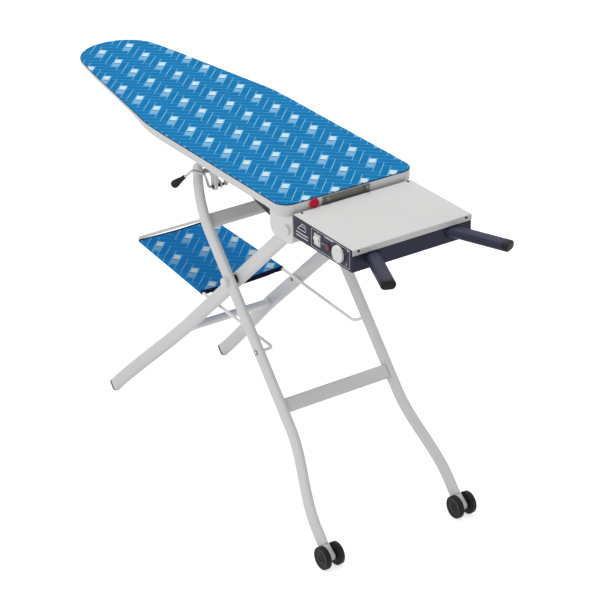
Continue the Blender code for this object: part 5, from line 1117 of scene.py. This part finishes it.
# %% Leg ends and axles
def make_leg_end(name, side):
    """The slim plastic end of an outer leg: a rounded tongue, with the axle through it."""
    middle = AXLE + ACROSS * side * WHEEL_SPREAD[1]
    shoulder = TUBE_WIDTH / 2 - TUBE_THICKNESS / 4
    outline = [(0.0006 - LEG_END_TUBE, rim * shoulder - AXLE_OFFSET) for rim in (-1, 1)]
    outline += arc_points((0, 0), 0.014, 70, -70, 16)
    centre_d = sum(d for d, _ in outline) / len(outline)
    centre_a = sum(a for _, a in outline) / len(outline)
    bm = bmesh.new()
    rings = []
    half, edge = TUBE_THICKNESS / 2, 0.0014
    for level_out, shrink in ((-half, edge), (-half + edge * 0.4, edge * 0.35), (-half + edge, 0),
                              (half - edge, 0), (half - edge * 0.4, edge * 0.35), (half, edge)):
        ring = []
        for d, a in outline:
            reach = math.hypot(d - centre_d, a - centre_a)
            pull = 1 - shrink / reach
            spot = (centre_d + (d - centre_d) * pull, centre_a + (a - centre_a) * pull)
            ring.append(middle + ACROSS * level_out + WHEEL_DOWN * spot[0] + WHEEL_SIDE * spot[1])
        rings.append(ring)
    skin_rings(bm, rings)
    piece(bm, f"leg_tongue_{name}", "wheel_frame", "white_plastic", f"leg_end_{name}")
    axle = bmesh.new()
    reach = WHEEL_SPACING / 2 + WHEEL_THICKNESS / 2 - 0.0026
    turn_profile(axle, middle - ACROSS * (reach + 0.0018), ACROSS, (
        (0, 0.0030), (0.0004, 0.0046), (0.0018, 0.0052), (0.0018, 0.0035), (2 * reach + 0.0018, 0.0035),
        (2 * reach + 0.0018, 0.0052), (2 * reach + 0.0032, 0.0046), (2 * reach + 0.0036, 0.0030)), 32)
    piece(axle, f"axle_{name}", "wheel_frame", "black_plastic")


for name, side in SIDES:
    make_leg_end(name, side)
print("two leg ends and two axles")

# %% [markdown]
# ## Turned fastenings
# Bolt caps, pins, spacers and knuckles are small, but they are what makes a joint look like a joint.
# Each cap, pin and spacer is a profile turned round the axis that it really turns on, with a domed or
# chamfered end, and each knuckle is a softened copy of the frame's.

# %% Hinge and scissor fastenings
CAP_HEIGHT, CAP_RADIUS = 0.0135, 0.0130
PIN_CAP = (          # distance back from the pin's outer end, radius
    (0.008, 0.004), (0.008, 0.0130), (0.0028, 0.0129), (0.0014, 0.0124), (0.0004, 0.0112),
    (0, 0.0095), (0, 0.004), (0.001, 0.0036),
)


def make_fastenings(name, side):
    """The hinge pin's cap, the scissor's cap and its spacer on one side."""
    out = ACROSS * side
    inner, outer = FEET_SPREAD[0] - TUBE_THICKNESS / 2, WHEEL_SPREAD[0] + TUBE_THICKNESS / 2
    start = SCISSOR + out * (inner - 0.0053)
    head = outer - inner + 0.0056
    bm = bmesh.new()
    dome = [(head + CAP_HEIGHT * math.sin(math.radians(t)) ** 0.8, CAP_RADIUS * (1 - 0.34 * (t / 90) ** 3))
            for t in range(0, 91, 15)]
    stem = [(0, 0.0060), (0.001, 0.0072), (0.0050, 0.0072), (0.0050, 0.004), (head, 0.004)]
    turn_profile(bm, start, out, [*stem, *dome, (head + CAP_HEIGHT, 0.003)], 40)
    piece(bm, f"scissor_cap_{name}", "feet_frame", "white_plastic", f"scissor_bolt_{name}")
    bm = bmesh.new()
    gap = WHEEL_SPREAD[0] - FEET_SPREAD[0] - TUBE_THICKNESS - 0.0006
    turn_profile(bm, SCISSOR + out * (FEET_SPREAD[0] + TUBE_THICKNESS / 2 + 0.0003), out, (
        (0, 0.0108), (0.0006, 0.0115), (gap - 0.0006, 0.0115), (gap, 0.0108)), 40, bore=0.0043)
    piece(bm, f"scissor_washer_{name}", "feet_frame", "black_plastic", f"scissor_spacer_{name}")
    low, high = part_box(f"hinge_pin_{name}")
    start = Vector((HINGE.x, high[1] if side < 0 else low[1], HINGE.z))
    length = high[1] - low[1]
    bm = bmesh.new()
    inner_head = [(0, 0.0055), (0.0004, 0.0066), (0.0018, 0.0068), (0.0018, 0.004)]
    outer_cap = [(length - back, radius) for back, radius in PIN_CAP]
    turn_profile(bm, start, out, inner_head + outer_cap, 40)
    piece(bm, f"hinge_cap_{name}", "table", "white_plastic", f"hinge_pin_{name}")


for name, side in SIDES:
    make_fastenings(name, side)
    softened(f"leg_knuckle_{name}", "feet_frame", "white_plastic", 0.0010)
print("caps, spacers and knuckles at both joints")

# %% [markdown]
# ## The laundry shelf
# A single bent wire hooks through the outer legs and carries a cloth between its long sides. The
# wire is a round section carried along a route with rounded corners, and the cloth is a sheet sewn
# into a sleeve on each side wire. It hangs between them under its own weight, so it sags a little
# more in the middle, and its front edge is a hem that droops. Both hems are dark cloth that paints the
# shade where the sheet folds over its edges.

# %% Shelf wire
SHELF_HINGE = SCISSOR + WHEEL_DOWN * AXLE_DISTANCE * 0.2661
SHELF_TILT = math.radians(3)
SHELF_OUT = Vector((-math.cos(SHELF_TILT), 0, math.sin(SHELF_TILT)))
SHELF_UP = Vector((math.sin(SHELF_TILT), 0, math.cos(SHELF_TILT)))
WIRE_RADIUS, WIRE_BEND, SHELF_LENGTH = 0.0043, 0.013, 0.668
WIRE_SPREAD, WIRE_SPREAD_END, TAPER_START = 0.1243, 0.1122, 0.302


def wire_spread(reach):
    """Half the width between the side wires, at a distance from the pivot."""
    share = max(reach - TAPER_START, 0) / (SHELF_LENGTH - TAPER_START)
    return WIRE_SPREAD + (WIRE_SPREAD_END - WIRE_SPREAD) * share


def make_shelf_wire():
    """One wire: hook, side, closed end, side, hook; and a black bush where each hook leaves its leg."""
    hooks, sides = [], []
    outer = WHEEL_SPREAD[0] + TUBE_THICKNESS / 2
    for _, side in SIDES:
        hooks.append(SHELF_HINGE + ACROSS * side * (outer + 0.0012))
        sides.append([SHELF_HINGE + SHELF_OUT * reach + ACROSS * side * wire_spread(reach)
                      for reach in (0, TAPER_START, SHELF_LENGTH)])
    bm = bmesh.new()
    route = [hooks[0], *sides[0], *sides[1][::-1], hooks[1]]
    carry_round(bm, round_corners(route, WIRE_BEND), WIRE_RADIUS)
    piece(bm, "shelf_frame", "shelf", "wire_white_painted_light", "shelf_wire")
    bm = bmesh.new()
    for _, side in SIDES:
        turn_profile(bm, SHELF_HINGE + ACROSS * side * (outer - 0.0002), ACROSS * side,
                     [(0, 0.0062), (0.0012, 0.0062), (0.0018, 0.0056)], sides=28, bore=WIRE_RADIUS + 0.0002)
    piece(bm, "shelf_bushes", "wheel_frame", "black_plastic")


make_shelf_wire()
print("shelf wire from", [round(v, 4) for v in SHELF_HINGE])

# %% Shelf cloth
CLOTH_START, CLOTH_END, CLOTH_SAG = 0.322, 0.651, 0.004
SLEEVE, SLEEVE_REACH, SLEEVE_STEPS = WIRE_RADIUS + 0.0012, 0.020, 12
CLOTH_ROWS, CLOTH_COLUMNS = 40, 48


def cloth_section(reach):
    """The sheet across the shelf at one distance: sleeve, sagging middle, sleeve."""
    spread = wire_spread(reach)
    section = [(-spread + SLEEVE_REACH, -SLEEVE * 0.9 - 0.001)]
    section += [(-spread + a, b) for a, b in arc_points((0, 0), SLEEVE, 270, 90, SLEEVE_STEPS)]
    for column in range(1, CLOTH_COLUMNS):
        y = -spread + 2 * spread * column / CLOTH_COLUMNS
        ripple = 0.0005 * noise.noise(Vector((reach * 22, y * 10, 3)))
        section.append((y, SLEEVE - CLOTH_SAG * (1 - (y / spread) ** 2) + ripple))
    section += [(-y, z) for y, z in section[SLEEVE_STEPS + 1::-1]]
    return section


def make_shelf_cloth():
    """The printed sheet with its two sleeves."""
    bm = bmesh.new()
    rows = []
    for reach in steps_between(CLOTH_START, CLOTH_END, CLOTH_ROWS):
        middle = SHELF_HINGE + SHELF_OUT * reach
        rows.append([bm.verts.new(middle + ACROSS * y + SHELF_UP * z) for y, z in cloth_section(reach)])
    for first, second in zip(rows, rows[1:]):
        for here in range(len(first) - 1):
            bm.faces.new((first[here], first[here + 1], second[here + 1], second[here]))
    return piece(bm, "shelf_sheet", "shelf", "shelf_fabric", "shelf_cloth")


shelf_sheet = make_shelf_cloth()
print("shelf cloth:", len(shelf_sheet.data.polygons), "faces")

# %% The shelf cloth's hems
HEM_DROOP, HEM_THICKNESS = 0.007, 0.0009


def make_shaded_hem(name, reach, droop):
    """A hem folded over one edge of the shelf cloth, dark as painted shade; the front one hangs down but
    for its ends.
    """
    spread = wire_spread(reach)
    section = [(y, z) for y, z in cloth_section(reach) if z > 0 or abs(y) < spread - SLEEVE_REACH]
    outward = SHELF_OUT * (-1 if droop else 1)
    bm = bmesh.new()
    rings = []
    for y, z in section:
        hang = 0.004 + droop * (1 - min(abs(y) / spread, 1) ** 6)
        top = SHELF_HINGE + SHELF_OUT * reach + ACROSS * y + SHELF_UP * z
        lift, back = SHELF_UP * HEM_THICKNESS, outward * HEM_THICKNESS
        rings.append([top - outward * 0.006 + lift * 0.6, top + lift * 0.6, top + back * 0.9 + lift * 0.1,
                      top + back - SHELF_UP * hang * 0.5, top + back * 0.6 - SHELF_UP * hang,
                      top - back * 0.4 - SHELF_UP * hang, top - back * 0.6 - lift,
                      top - outward * 0.006 - lift])
    skin_rings(bm, rings)
    return piece(bm, name, "shelf", "hem_tape")


shaded_hems = [make_shaded_hem("shelf_hem_front_shade", CLOTH_START, HEM_DROOP), make_shaded_hem("shelf_hem_back_shade", CLOTH_END, 0.0)]

# %% [markdown]
# ## The iron rest's lid
# A white sheet-steel lid closes the navy box of the iron rest. Its front edge is folded down as a
# lip. A folded sheet is one section, a thin line with a round fold, carried across the rest; an
# extruded curve would do as well, but its ends would need capping by hand.

# %% Rest lid
REST_X, REST_FRONT = END_X + 0.0118, END_X + 0.2493
REST_TOP, REST_SIDE = BOARD_TOP - 0.022, 0.1724
LID_SHEET, LID_LIP, LID_FOLD = 0.0012, 0.0150, 0.0030
LID_FRONT = REST_FRONT + 0.0015


def make_lid():
    """The folded sheet, carried from side to side."""
    heart = (LID_FRONT - LID_FOLD, REST_TOP - LID_FOLD)
    section = [(REST_X, REST_TOP), *arc_points(heart, LID_FOLD, 90, 0, 8), (LID_FRONT, REST_TOP - LID_LIP)]
    section += [(LID_FRONT - LID_SHEET, REST_TOP - LID_LIP),
                *arc_points(heart, LID_FOLD - LID_SHEET, 0, 90, 8), (REST_X, REST_TOP - LID_SHEET)]
    bm = bmesh.new()
    skin_rings(bm, [[Vector((x, y, z)) for x, z in section] for y in (-REST_SIDE, REST_SIDE)])
    lid = piece(bm, "lid", "table", "grey_paint", "rest_lid")
    edges = lid.modifiers.new("soft edges", "BEVEL")
    edges.width, edges.segments = 0.0004, 2
    edges.limit_method, edges.angle_limit = "ANGLE", math.radians(50)


make_lid()
print("lid from", round(REST_X, 4), "to", round(LID_FRONT, 4))

# %% [markdown]
# ## Screws
# Small domed screws hold the lid and the end plate. Each head is a turned dome whose inner rings
# are pinched into a cross, which is how a driver's recess looks. All the heads of one kind are one
# piece, because a stranger would buy them as one.

# %% Screws
CROSS = (0.46, 0.17, 0.13, 0.17)      # the recess's reach, point by point, as a share of the head's
HEAD_RINGS = ((0, 1, False), (0.22, 0.98, False), (0.42, 0.82, False), (0.50, 0.60, False),
              (0.52, 1, True), (0.16, 0.9, True))       # height, radius, whether it is the recess


def add_screw(bm, seat, axis, radius):
    """A domed head with a cross recess."""
    first, second = axes_round(axis)
    rings = []
    for along, share, crossed in HEAD_RINGS:
        ring = []
        for step in range(16):
            turn = math.tau * step / 16
            reach = radius * share * (CROSS[step % 4] if crossed else 1)
            outward = first * math.cos(turn) + second * math.sin(turn)
            ring.append(seat + axis * along * radius + outward * reach)
        rings.append(ring)
    skin_rings(bm, rings)


def make_screws(name, finish, radius, places):
    """A group of equal screw heads."""
    bm = bmesh.new()
    for seat, axis in places:
        add_screw(bm, Vector(seat), axis, radius)
    piece(bm, name, "table", finish)


LID_PLACES = [((REST_X + 0.0060, y, REST_TOP), UP) for y in (-0.1515, 0.1600)]
LID_PLACES += [((LID_FRONT, side * 0.1555, REST_TOP - 0.0048), ALONG_X) for _, side in SIDES]
PLATE_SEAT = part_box("end_plate")[1][0] - 0.0016
PLATE_PLACES = [((PLATE_SEAT, y, BOARD_TOP - 0.0115), ALONG_X) for y in (-0.0695, 0.0455)]
make_screws("lid_screws", "black_plastic", 0.0034, LID_PLACES)
make_screws("plate_screws", "dull_steel", 0.0050, PLATE_PLACES)
print("screw heads:", len(LID_PLACES), "on the lid,", len(PLATE_PLACES), "on the plate")

# %% [markdown]
# ## The control panel
# The panel carries a rocker switch, a lamp and a temperature dial. The print is a white frame line, a
# few marks for the scale and a small wedge that grows towards hot. It is laid on as thin raised lines,
# so it stays crisp from near; a painted texture would do the same job, but would need an unwrapped
# panel. The box's wall beside it gets two plain bars under the iron that care labels show.

# %% Print lines
PANEL_FACE, WALL_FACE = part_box("control_panel")[0][1], -REST_SIDE
PANEL_LOW, PANEL_HIGH = Vector(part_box("control_panel")[0]), Vector(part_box("control_panel")[1])
CONTROL_Z = REST_TOP - 0.0273
KNOB_X, LAMP_X, LAMP_Z = REST_FRONT - 0.0500, REST_FRONT - 0.0939, REST_TOP - 0.0278
PRINT_RISE = 0.0002


def print_line(bm, face, points, width, width_end=None, closed=False):
    """A thin raised line along points in (x, z) on a side face; it may widen towards its end."""
    rings = []
    for here, (x, z) in enumerate(points):
        before = points[here - 1] if here or closed else points[0]
        after = points[(here + 1) % len(points)] if here + 1 < len(points) or closed else points[-1]
        run = Vector((after[0] - before[0], after[1] - before[1])).normalized()
        share = here / (len(points) - 1)
        half = (width + ((width_end or width) - width) * share) / 2
        dx, dz = -run.y * half, run.x * half
        rings.append([Vector((x - dx, face, z - dz)), Vector((x - dx, face - PRINT_RISE, z - dz)),
                      Vector((x + dx, face - PRINT_RISE, z + dz)), Vector((x + dx, face, z + dz))])
    skin_rings(bm, rings, closed=closed)


def panel_frame(inset, radius):
    """A rectangle with round corners, set in from the panel's edge."""
    x_low, x_high = PANEL_LOW.x + inset + radius, PANEL_HIGH.x - inset - radius
    z_low, z_high = PANEL_LOW.z + inset + radius, PANEL_HIGH.z - inset - radius
    points = []
    for x, z, start in ((x_high, z_high, 0), (x_low, z_high, 90),
                        (x_low, z_low, 180), (x_high, z_low, 270)):
        points += arc_points((x, z), radius, start, start + 90, 6)
    return points


print("the print lies", round(PRINT_RISE * 1000, 1), "mm proud of", round(PANEL_FACE, 4))

# %% Panel and wall print
SCALE_TURNS, SCALE_RADII = (20, 40, 60, 80), (0.0236, 0.0268)
CARE_IRON = (        # the sole, the rising front and hood, the back edge, the handle
    [(0, 0), (0.034, 0)],
    [(0.0005, 0), (0.0115, 0.0105), (0.0338, 0.0105)],
    [(0.0333, 0), (0.0333, 0.0105)],
    [(0.0150, 0.0105), (0.0175, 0.0165), (0.0310, 0.0165), (0.0310, 0.0105)],
)


def make_panel_print():
    """The frame line, the switch's ring, bars, scale marks and the wedge."""
    bm = bmesh.new()
    print_line(bm, PANEL_FACE, panel_frame(0.0016, 0.0018), 0.0009, closed=True)
    switch_ring = arc_points((KNOB_X - 0.0862, CONTROL_Z + 0.0204), 0.0014, 0, 330, 16)
    print_line(bm, PANEL_FACE, switch_ring, 0.0006, closed=True)
    for start, end, height, width in (       # from the dial's middle: a bar, the lamp's lead
            (-0.0570, -0.0230, CONTROL_Z + 0.0205, 0.0022), (-0.0702, -0.0568, LAMP_Z, 0.0009)):
        print_line(bm, PANEL_FACE, [(KNOB_X + start, height), (KNOB_X + end, height)], width)
    wedge = [(KNOB_X + 0.0298, LAMP_Z - 0.0185), (KNOB_X + 0.0290, LAMP_Z - 0.0095)]
    print_line(bm, PANEL_FACE, wedge, 0.0024, 0.0004)
    hot_bar = [(KNOB_X + x, CONTROL_Z + 0.0200) for x in (0.0315, 0.0385)]
    print_line(bm, PANEL_FACE, hot_bar, 0.0020)
    for turn in SCALE_TURNS:
        mark = [arc_points((KNOB_X, CONTROL_Z), radius, turn, turn, 1)[0] for radius in SCALE_RADII]
        print_line(bm, PANEL_FACE, mark, 0.0010)
    piece(bm, "panel_print", "table", "white_plastic")


def make_wall_print():
    """A care-label iron and two plain bars on the box's wall."""
    bm = bmesh.new()
    left, base = REST_FRONT - 0.2200, CONTROL_Z - 0.0010
    for shape in CARE_IRON:
        print_line(bm, WALL_FACE, [(left + x, base + z) for x, z in shape], 0.0016)
    start = left - 0.0062
    for drop, length in ((0.0094, 0.0500), (0.0172, 0.0485)):
        print_line(bm, WALL_FACE, [(start, base - drop), (start + length, base - drop)], 0.0024)
    piece(bm, "wall_print", "table", "white_plastic")


make_panel_print()
make_wall_print()
print("panel and wall print laid on")

# %% Lamp and dial
LAMP_STEM = 0.0172
LENS_PROFILE = ((0, 0.0060), (LAMP_STEM, 0.0060), (LAMP_STEM, 0.0084), (0.0184, 0.0082),
                (0.0192, 0.0060), (0.0197, 0.0030), (0.0198, 0.0004))
LAMP_RIM_PROFILE = ((0.0100, 0.0094), (LAMP_STEM, 0.0094), (0.0176, 0.0100), (0.0183, 0.0099),
                    (0.0185, 0.0094), (0.0182, 0.0087))
DIAL_BACK, DIAL_STEPS, DIAL_GRIPS = -REST_SIDE + 0.0021, 180, 36
DIAL_PROFILE = (     # distance out from the back, radius, depth of the grips
    (0, 0.0030, 0), (0.0042, 0.0030, 0), (0.0042, 0.0205, 0), (0.0047, 0.0210, 0),
    (0.0052, 0.0211, 0.0004), (0.0086, 0.0210, 0.0004), (0.0097, 0.0206, 0.0001),
    (0.0105, 0.0198, 0), (0.0109, 0.0186, 0), (0.0110, 0.0172, 0), (0.0108, 0.0160, 0),
    (0.0107, 0.0020, 0),
)


def make_lamp_lens():
    """A faceted lens in a narrow dark rim."""
    start = (LAMP_X, PANEL_FACE + LAMP_STEM, LAMP_Z)
    bm = bmesh.new()
    turn_profile(bm, start, -ACROSS, LENS_PROFILE, sides=10)
    piece(bm, "lamp", "table", "lamp_lens", "pilot_lamp", sharp=math.radians(12))
    bm = bmesh.new()
    turn_profile(bm, start, -ACROSS, LAMP_RIM_PROFILE, sides=40, bore=0.0085)
    piece(bm, "lamp_rim", "table", "dark_plastic")


def make_dial():
    """A round dial with fine grips in its rim and a low ridge that points at the print."""
    rings = []
    for along, radius, grip in DIAL_PROFILE:
        ring = []
        for step in range(DIAL_STEPS):
            turn = math.tau * step / DIAL_STEPS
            reach = radius - grip * (0.5 - 0.5 * math.cos(turn * DIAL_GRIPS))
            ring.append(Vector((KNOB_X + reach * math.cos(turn), DIAL_BACK - along,
                                CONTROL_Z + reach * math.sin(turn))))
        rings.append(ring)
    bm = bmesh.new()
    skin_rings(bm, rings)
    piece(bm, "dial", "knob", "white_plastic", "thermostat_knob")
    bm = bmesh.new()
    ridge = [[Vector((KNOB_X + x * width, DIAL_BACK - 0.0106 - rise, CONTROL_Z + z)) for x, rise in
              ((-1, 0), (-0.7, 0.0006), (0.7, 0.0006), (1, 0))] for z, width in
             ((0.0060, 0.0004), (0.0068, 0.0011), (0.0142, 0.0011), (0.0152, 0.0004))]
    skin_rings(bm, ridge)
    piece(bm, "dial_pointer", "knob", "grey_paint")


make_lamp_lens()
make_dial()
print("lamp and dial at", round(LAMP_X, 4), round(KNOB_X, 4))

# %% [markdown]
# ## The red button
# A round red push button stands proud of the board's end. It is a profile turned round its stem,
# with a rounded rim and a face dished by a fraction of a millimetre, as moulded buttons are.

# %% Red button
BUTTON_STEM = 0.020
BUTTON_PROFILE = (       # stem, flange, rim, dished face
    (0, 0.0045), (0.0233, 0.0045), (0.0233, 0.0122), (0.0237, 0.0127), (0.0258, 0.0128),
    (0.0271, 0.0124), (0.0279, 0.0114), (0.0284, 0.0096), (0.0283, 0.0070), (0.0280, 0.0036),
    (0.0279, 0.0006),
)


def make_button():
    """The button, turned round its stem from inside the pan outwards."""
    bm = bmesh.new()
    start = (END_X + TRAY_PROUD - BUTTON_STEM, -0.1075, BOARD_TOP - 0.0128)
    turn_profile(bm, start, ALONG_X, BUTTON_PROFILE, sides=56)
    piece(bm, "button_cap", "button", "red_plastic", "release_button")


make_button()
print("red button made")

# %% [markdown]
# ## The sliding arms
# Two navy oval tubes slide out of the rest and carry a garment's hem. They are the same carried oval
# as the legs, with rounded black end caps whose plugs sit in the tube. A thin dark ring round the hole
# that each one slides through is painted shade, the shade of that recess.

# %% Arms
ARM_SPLAY = math.radians(22.6)
ARM_WIDTH, ARM_THICKNESS, ARM_WALL = 0.038, 0.0235, 0.0015
ARM_SPREAD, ARM_Z = 0.1155, BOARD_TOP - 0.051
ARM_TUBE_REACH, ARM_HELD = 0.1413, 0.085
ARM_PLUG_INSET, HOLE_ROOM = 0.0018, 0.0018
CAP_STATIONS = (     # distance past the tube's end, how far in from the tube's outside
    (-0.012, ARM_PLUG_INSET + 0.0006), (-0.0105, ARM_PLUG_INSET), (0.0003, ARM_PLUG_INSET),
    (0.0003, 0.0003), (0.0007, 0), (0.0110, 0), (0.0127, 0.0006), (0.0136, 0.0015), (0.0140, 0.0028),
)
# A thin dark ring round each arm's hole paints the shade of that recess.
HOLE_SHADE_RINGS = (     # distance out from the wall, then how much wider and higher than the hole
    (0.0001, 0, 0), (0.0010, 0, 0), (0.0013, 0.0010, 0.0004), (0.0013, 0.0050, 0.0012),
    (0.0008, 0.0060, 0.0018), (0.0001, 0.0062, 0.0019),
)


def make_arm(name, side):
    """Tube and cap of one arm, and the dark ring of painted shade round its hole."""
    along = Vector((math.cos(ARM_SPLAY), side * math.sin(ARM_SPLAY), 0))
    wide = Vector((-along.y, along.x, 0))
    start = Vector((REST_FRONT, side * ARM_SPREAD, ARM_Z))
    tip = start + along * ARM_TUBE_REACH
    bm = bmesh.new()
    carry_oval(bm, [start - along * ARM_HELD, tip], wide, ARM_WIDTH, ARM_THICKNESS, ARM_WALL)
    piece(bm, f"arm_tube_{name}", f"arm_{name}", "navy_paint", f"support_arm_{name}")
    bm = bmesh.new()
    skin_rings(bm, [[tip + along * reach + wide * a + UP * b
                     for a, b in oval(ARM_WIDTH - 2 * inset, ARM_THICKNESS - 2 * inset)]
                    for reach, inset in CAP_STATIONS])
    piece(bm, f"arm_end_{name}", f"arm_{name}", "black_plastic", f"arm_cap_{name}")
    hole_width = ARM_WIDTH / math.cos(ARM_SPLAY) + HOLE_ROOM
    hole_height = ARM_THICKNESS + HOLE_ROOM
    rings = []
    for x, wider, higher in HOLE_SHADE_RINGS:
        rings.append([start + ALONG_X * x + ACROSS * a + UP * b
                      for a, b in oval(hole_width + wider, hole_height + higher)])
    bm = bmesh.new()
    skin_rings(bm, rings, closed=True)
    piece(bm, f"arm_hole_shade_{name}", "table", "dark_plastic")


for name, side in SIDES:
    make_arm(name, side)
print("two arms, splayed", round(math.degrees(ARM_SPLAY), 1), "degrees")

# %% [markdown]
# ## The height lever
# A bright rod lies across the board's underside, bends up over the outer leg and down again to a
# black grip shaped like a teardrop. The rod is a round section carried along rounded corners, and
# the grip a turned profile. Thin black sleeves sit on the rod beside the hook that turns with it.

# %% Height lever
LATCH = SLIDE + Vector((0.0566, 0, -0.0190))
ROD_RADIUS, ROD_BEND = 0.0034, 0.011
ROD_START, ELBOW = LATCH - ACROSS * 0.081, LATCH - ACROSS * 0.136
LEVER_REACH, LEVER_RISE = 0.064, 0.062
LEVER_SHARES = (     # ahead, as a share of the rise; outwards, of the reach; up, of the rise
    (0.266, 0.36, 0.81), (0.024, 0.79, 1.0), (-0.07, 0.95, 0.80), (-0.17, 1.0, 0.70),
)
LEVER_SLEEVES = (    # distance from the latch, length, radius
    (0.0935, 0.0060, 0.0042), (0.1056, 0.0055, 0.0042), (0.1240, 0.0035, 0.0050),
)
SLEEVE_CHAMFER = 0.0004
GRIP_PROFILE = (
    (0, 0.0046), (0.0006, 0.0054), (0.0090, 0.0057), (0.0140, 0.0063), (0.0210, 0.0077),
    (0.0290, 0.0094), (0.0355, 0.0105), (0.0400, 0.0107), (0.0435, 0.0099), (0.0460, 0.0079),
    (0.0473, 0.0052), (0.0478, 0.0020),
)


def make_height_lever():
    """Rod, sleeves and grip."""
    route = [ROD_START, ELBOW]
    route += [ELBOW + Vector((ahead * LEVER_RISE, -out * LEVER_REACH, up * LEVER_RISE))
              for ahead, out, up in LEVER_SHARES]
    bm = bmesh.new()
    carry_round(bm, round_corners(route, ROD_BEND), ROD_RADIUS)
    piece(bm, "lever_bar", "lever", "zinc_steel", "lever_rod")
    bm = bmesh.new()
    for start, length, radius in LEVER_SLEEVES:
        sleeve = [(0, radius - SLEEVE_CHAMFER), (SLEEVE_CHAMFER, radius),
                  (length - SLEEVE_CHAMFER, radius), (length, radius - SLEEVE_CHAMFER)]
        turn_profile(bm, LATCH - ACROSS * start, -ACROSS, sleeve, sides=28, bore=ROD_RADIUS + 0.0001)
    piece(bm, "lever_sleeves", "lever", "black_plastic")
    away = (route[-1] - route[-2]).normalized()
    bm = bmesh.new()
    turn_profile(bm, route[-1] + away * 0.0003, away, GRIP_PROFILE, sides=40)
    piece(bm, "grip", "lever", "black_plastic", "lever_grip")


make_height_lever()
print("lever pivot at", [round(v, 4) for v in LATCH])

# %% [markdown]
# ## The mains inlet
# A ribbed rubber sleeve guards the hole for the mains at the rest's far side. It is one turned
# profile round a bore, with the ribs drawn as steps, because such sleeves are moulded round.

# %% Mains inlet
INLET_PLACE = (REST_FRONT - 0.0993, REST_SIDE - 0.0027, CONTROL_Z)
INLET_FLANGE = ((-0.0032, 0.0058), (0.0030, 0.0058), (0.0030, 0.0080), (0.0034, 0.0085),
                (0.0086, 0.0085), (0.0094, 0.0078))
RIB = ((0.0098, 0.0066), (0.0112, 0.0064), (0.0115, 0.0072), (0.0126, 0.0070))
RIB_PITCH, RIB_TAPER = 0.0030, 0.0006


def make_inlet():
    """The strain relief with its ribs."""
    bm = bmesh.new()
    profile = list(INLET_FLANGE)
    for rib in range(3):
        profile += [(along + rib * RIB_PITCH, radius - rib * RIB_TAPER) for along, radius in RIB]
    profile += [(0.0190, 0.0052)]
    turn_profile(bm, INLET_PLACE, ACROSS, profile, sides=36, bore=0.0038)
    piece(bm, "inlet_sleeve", "table", "black_plastic", "mains_gland")


make_inlet()
print("mains inlet made")
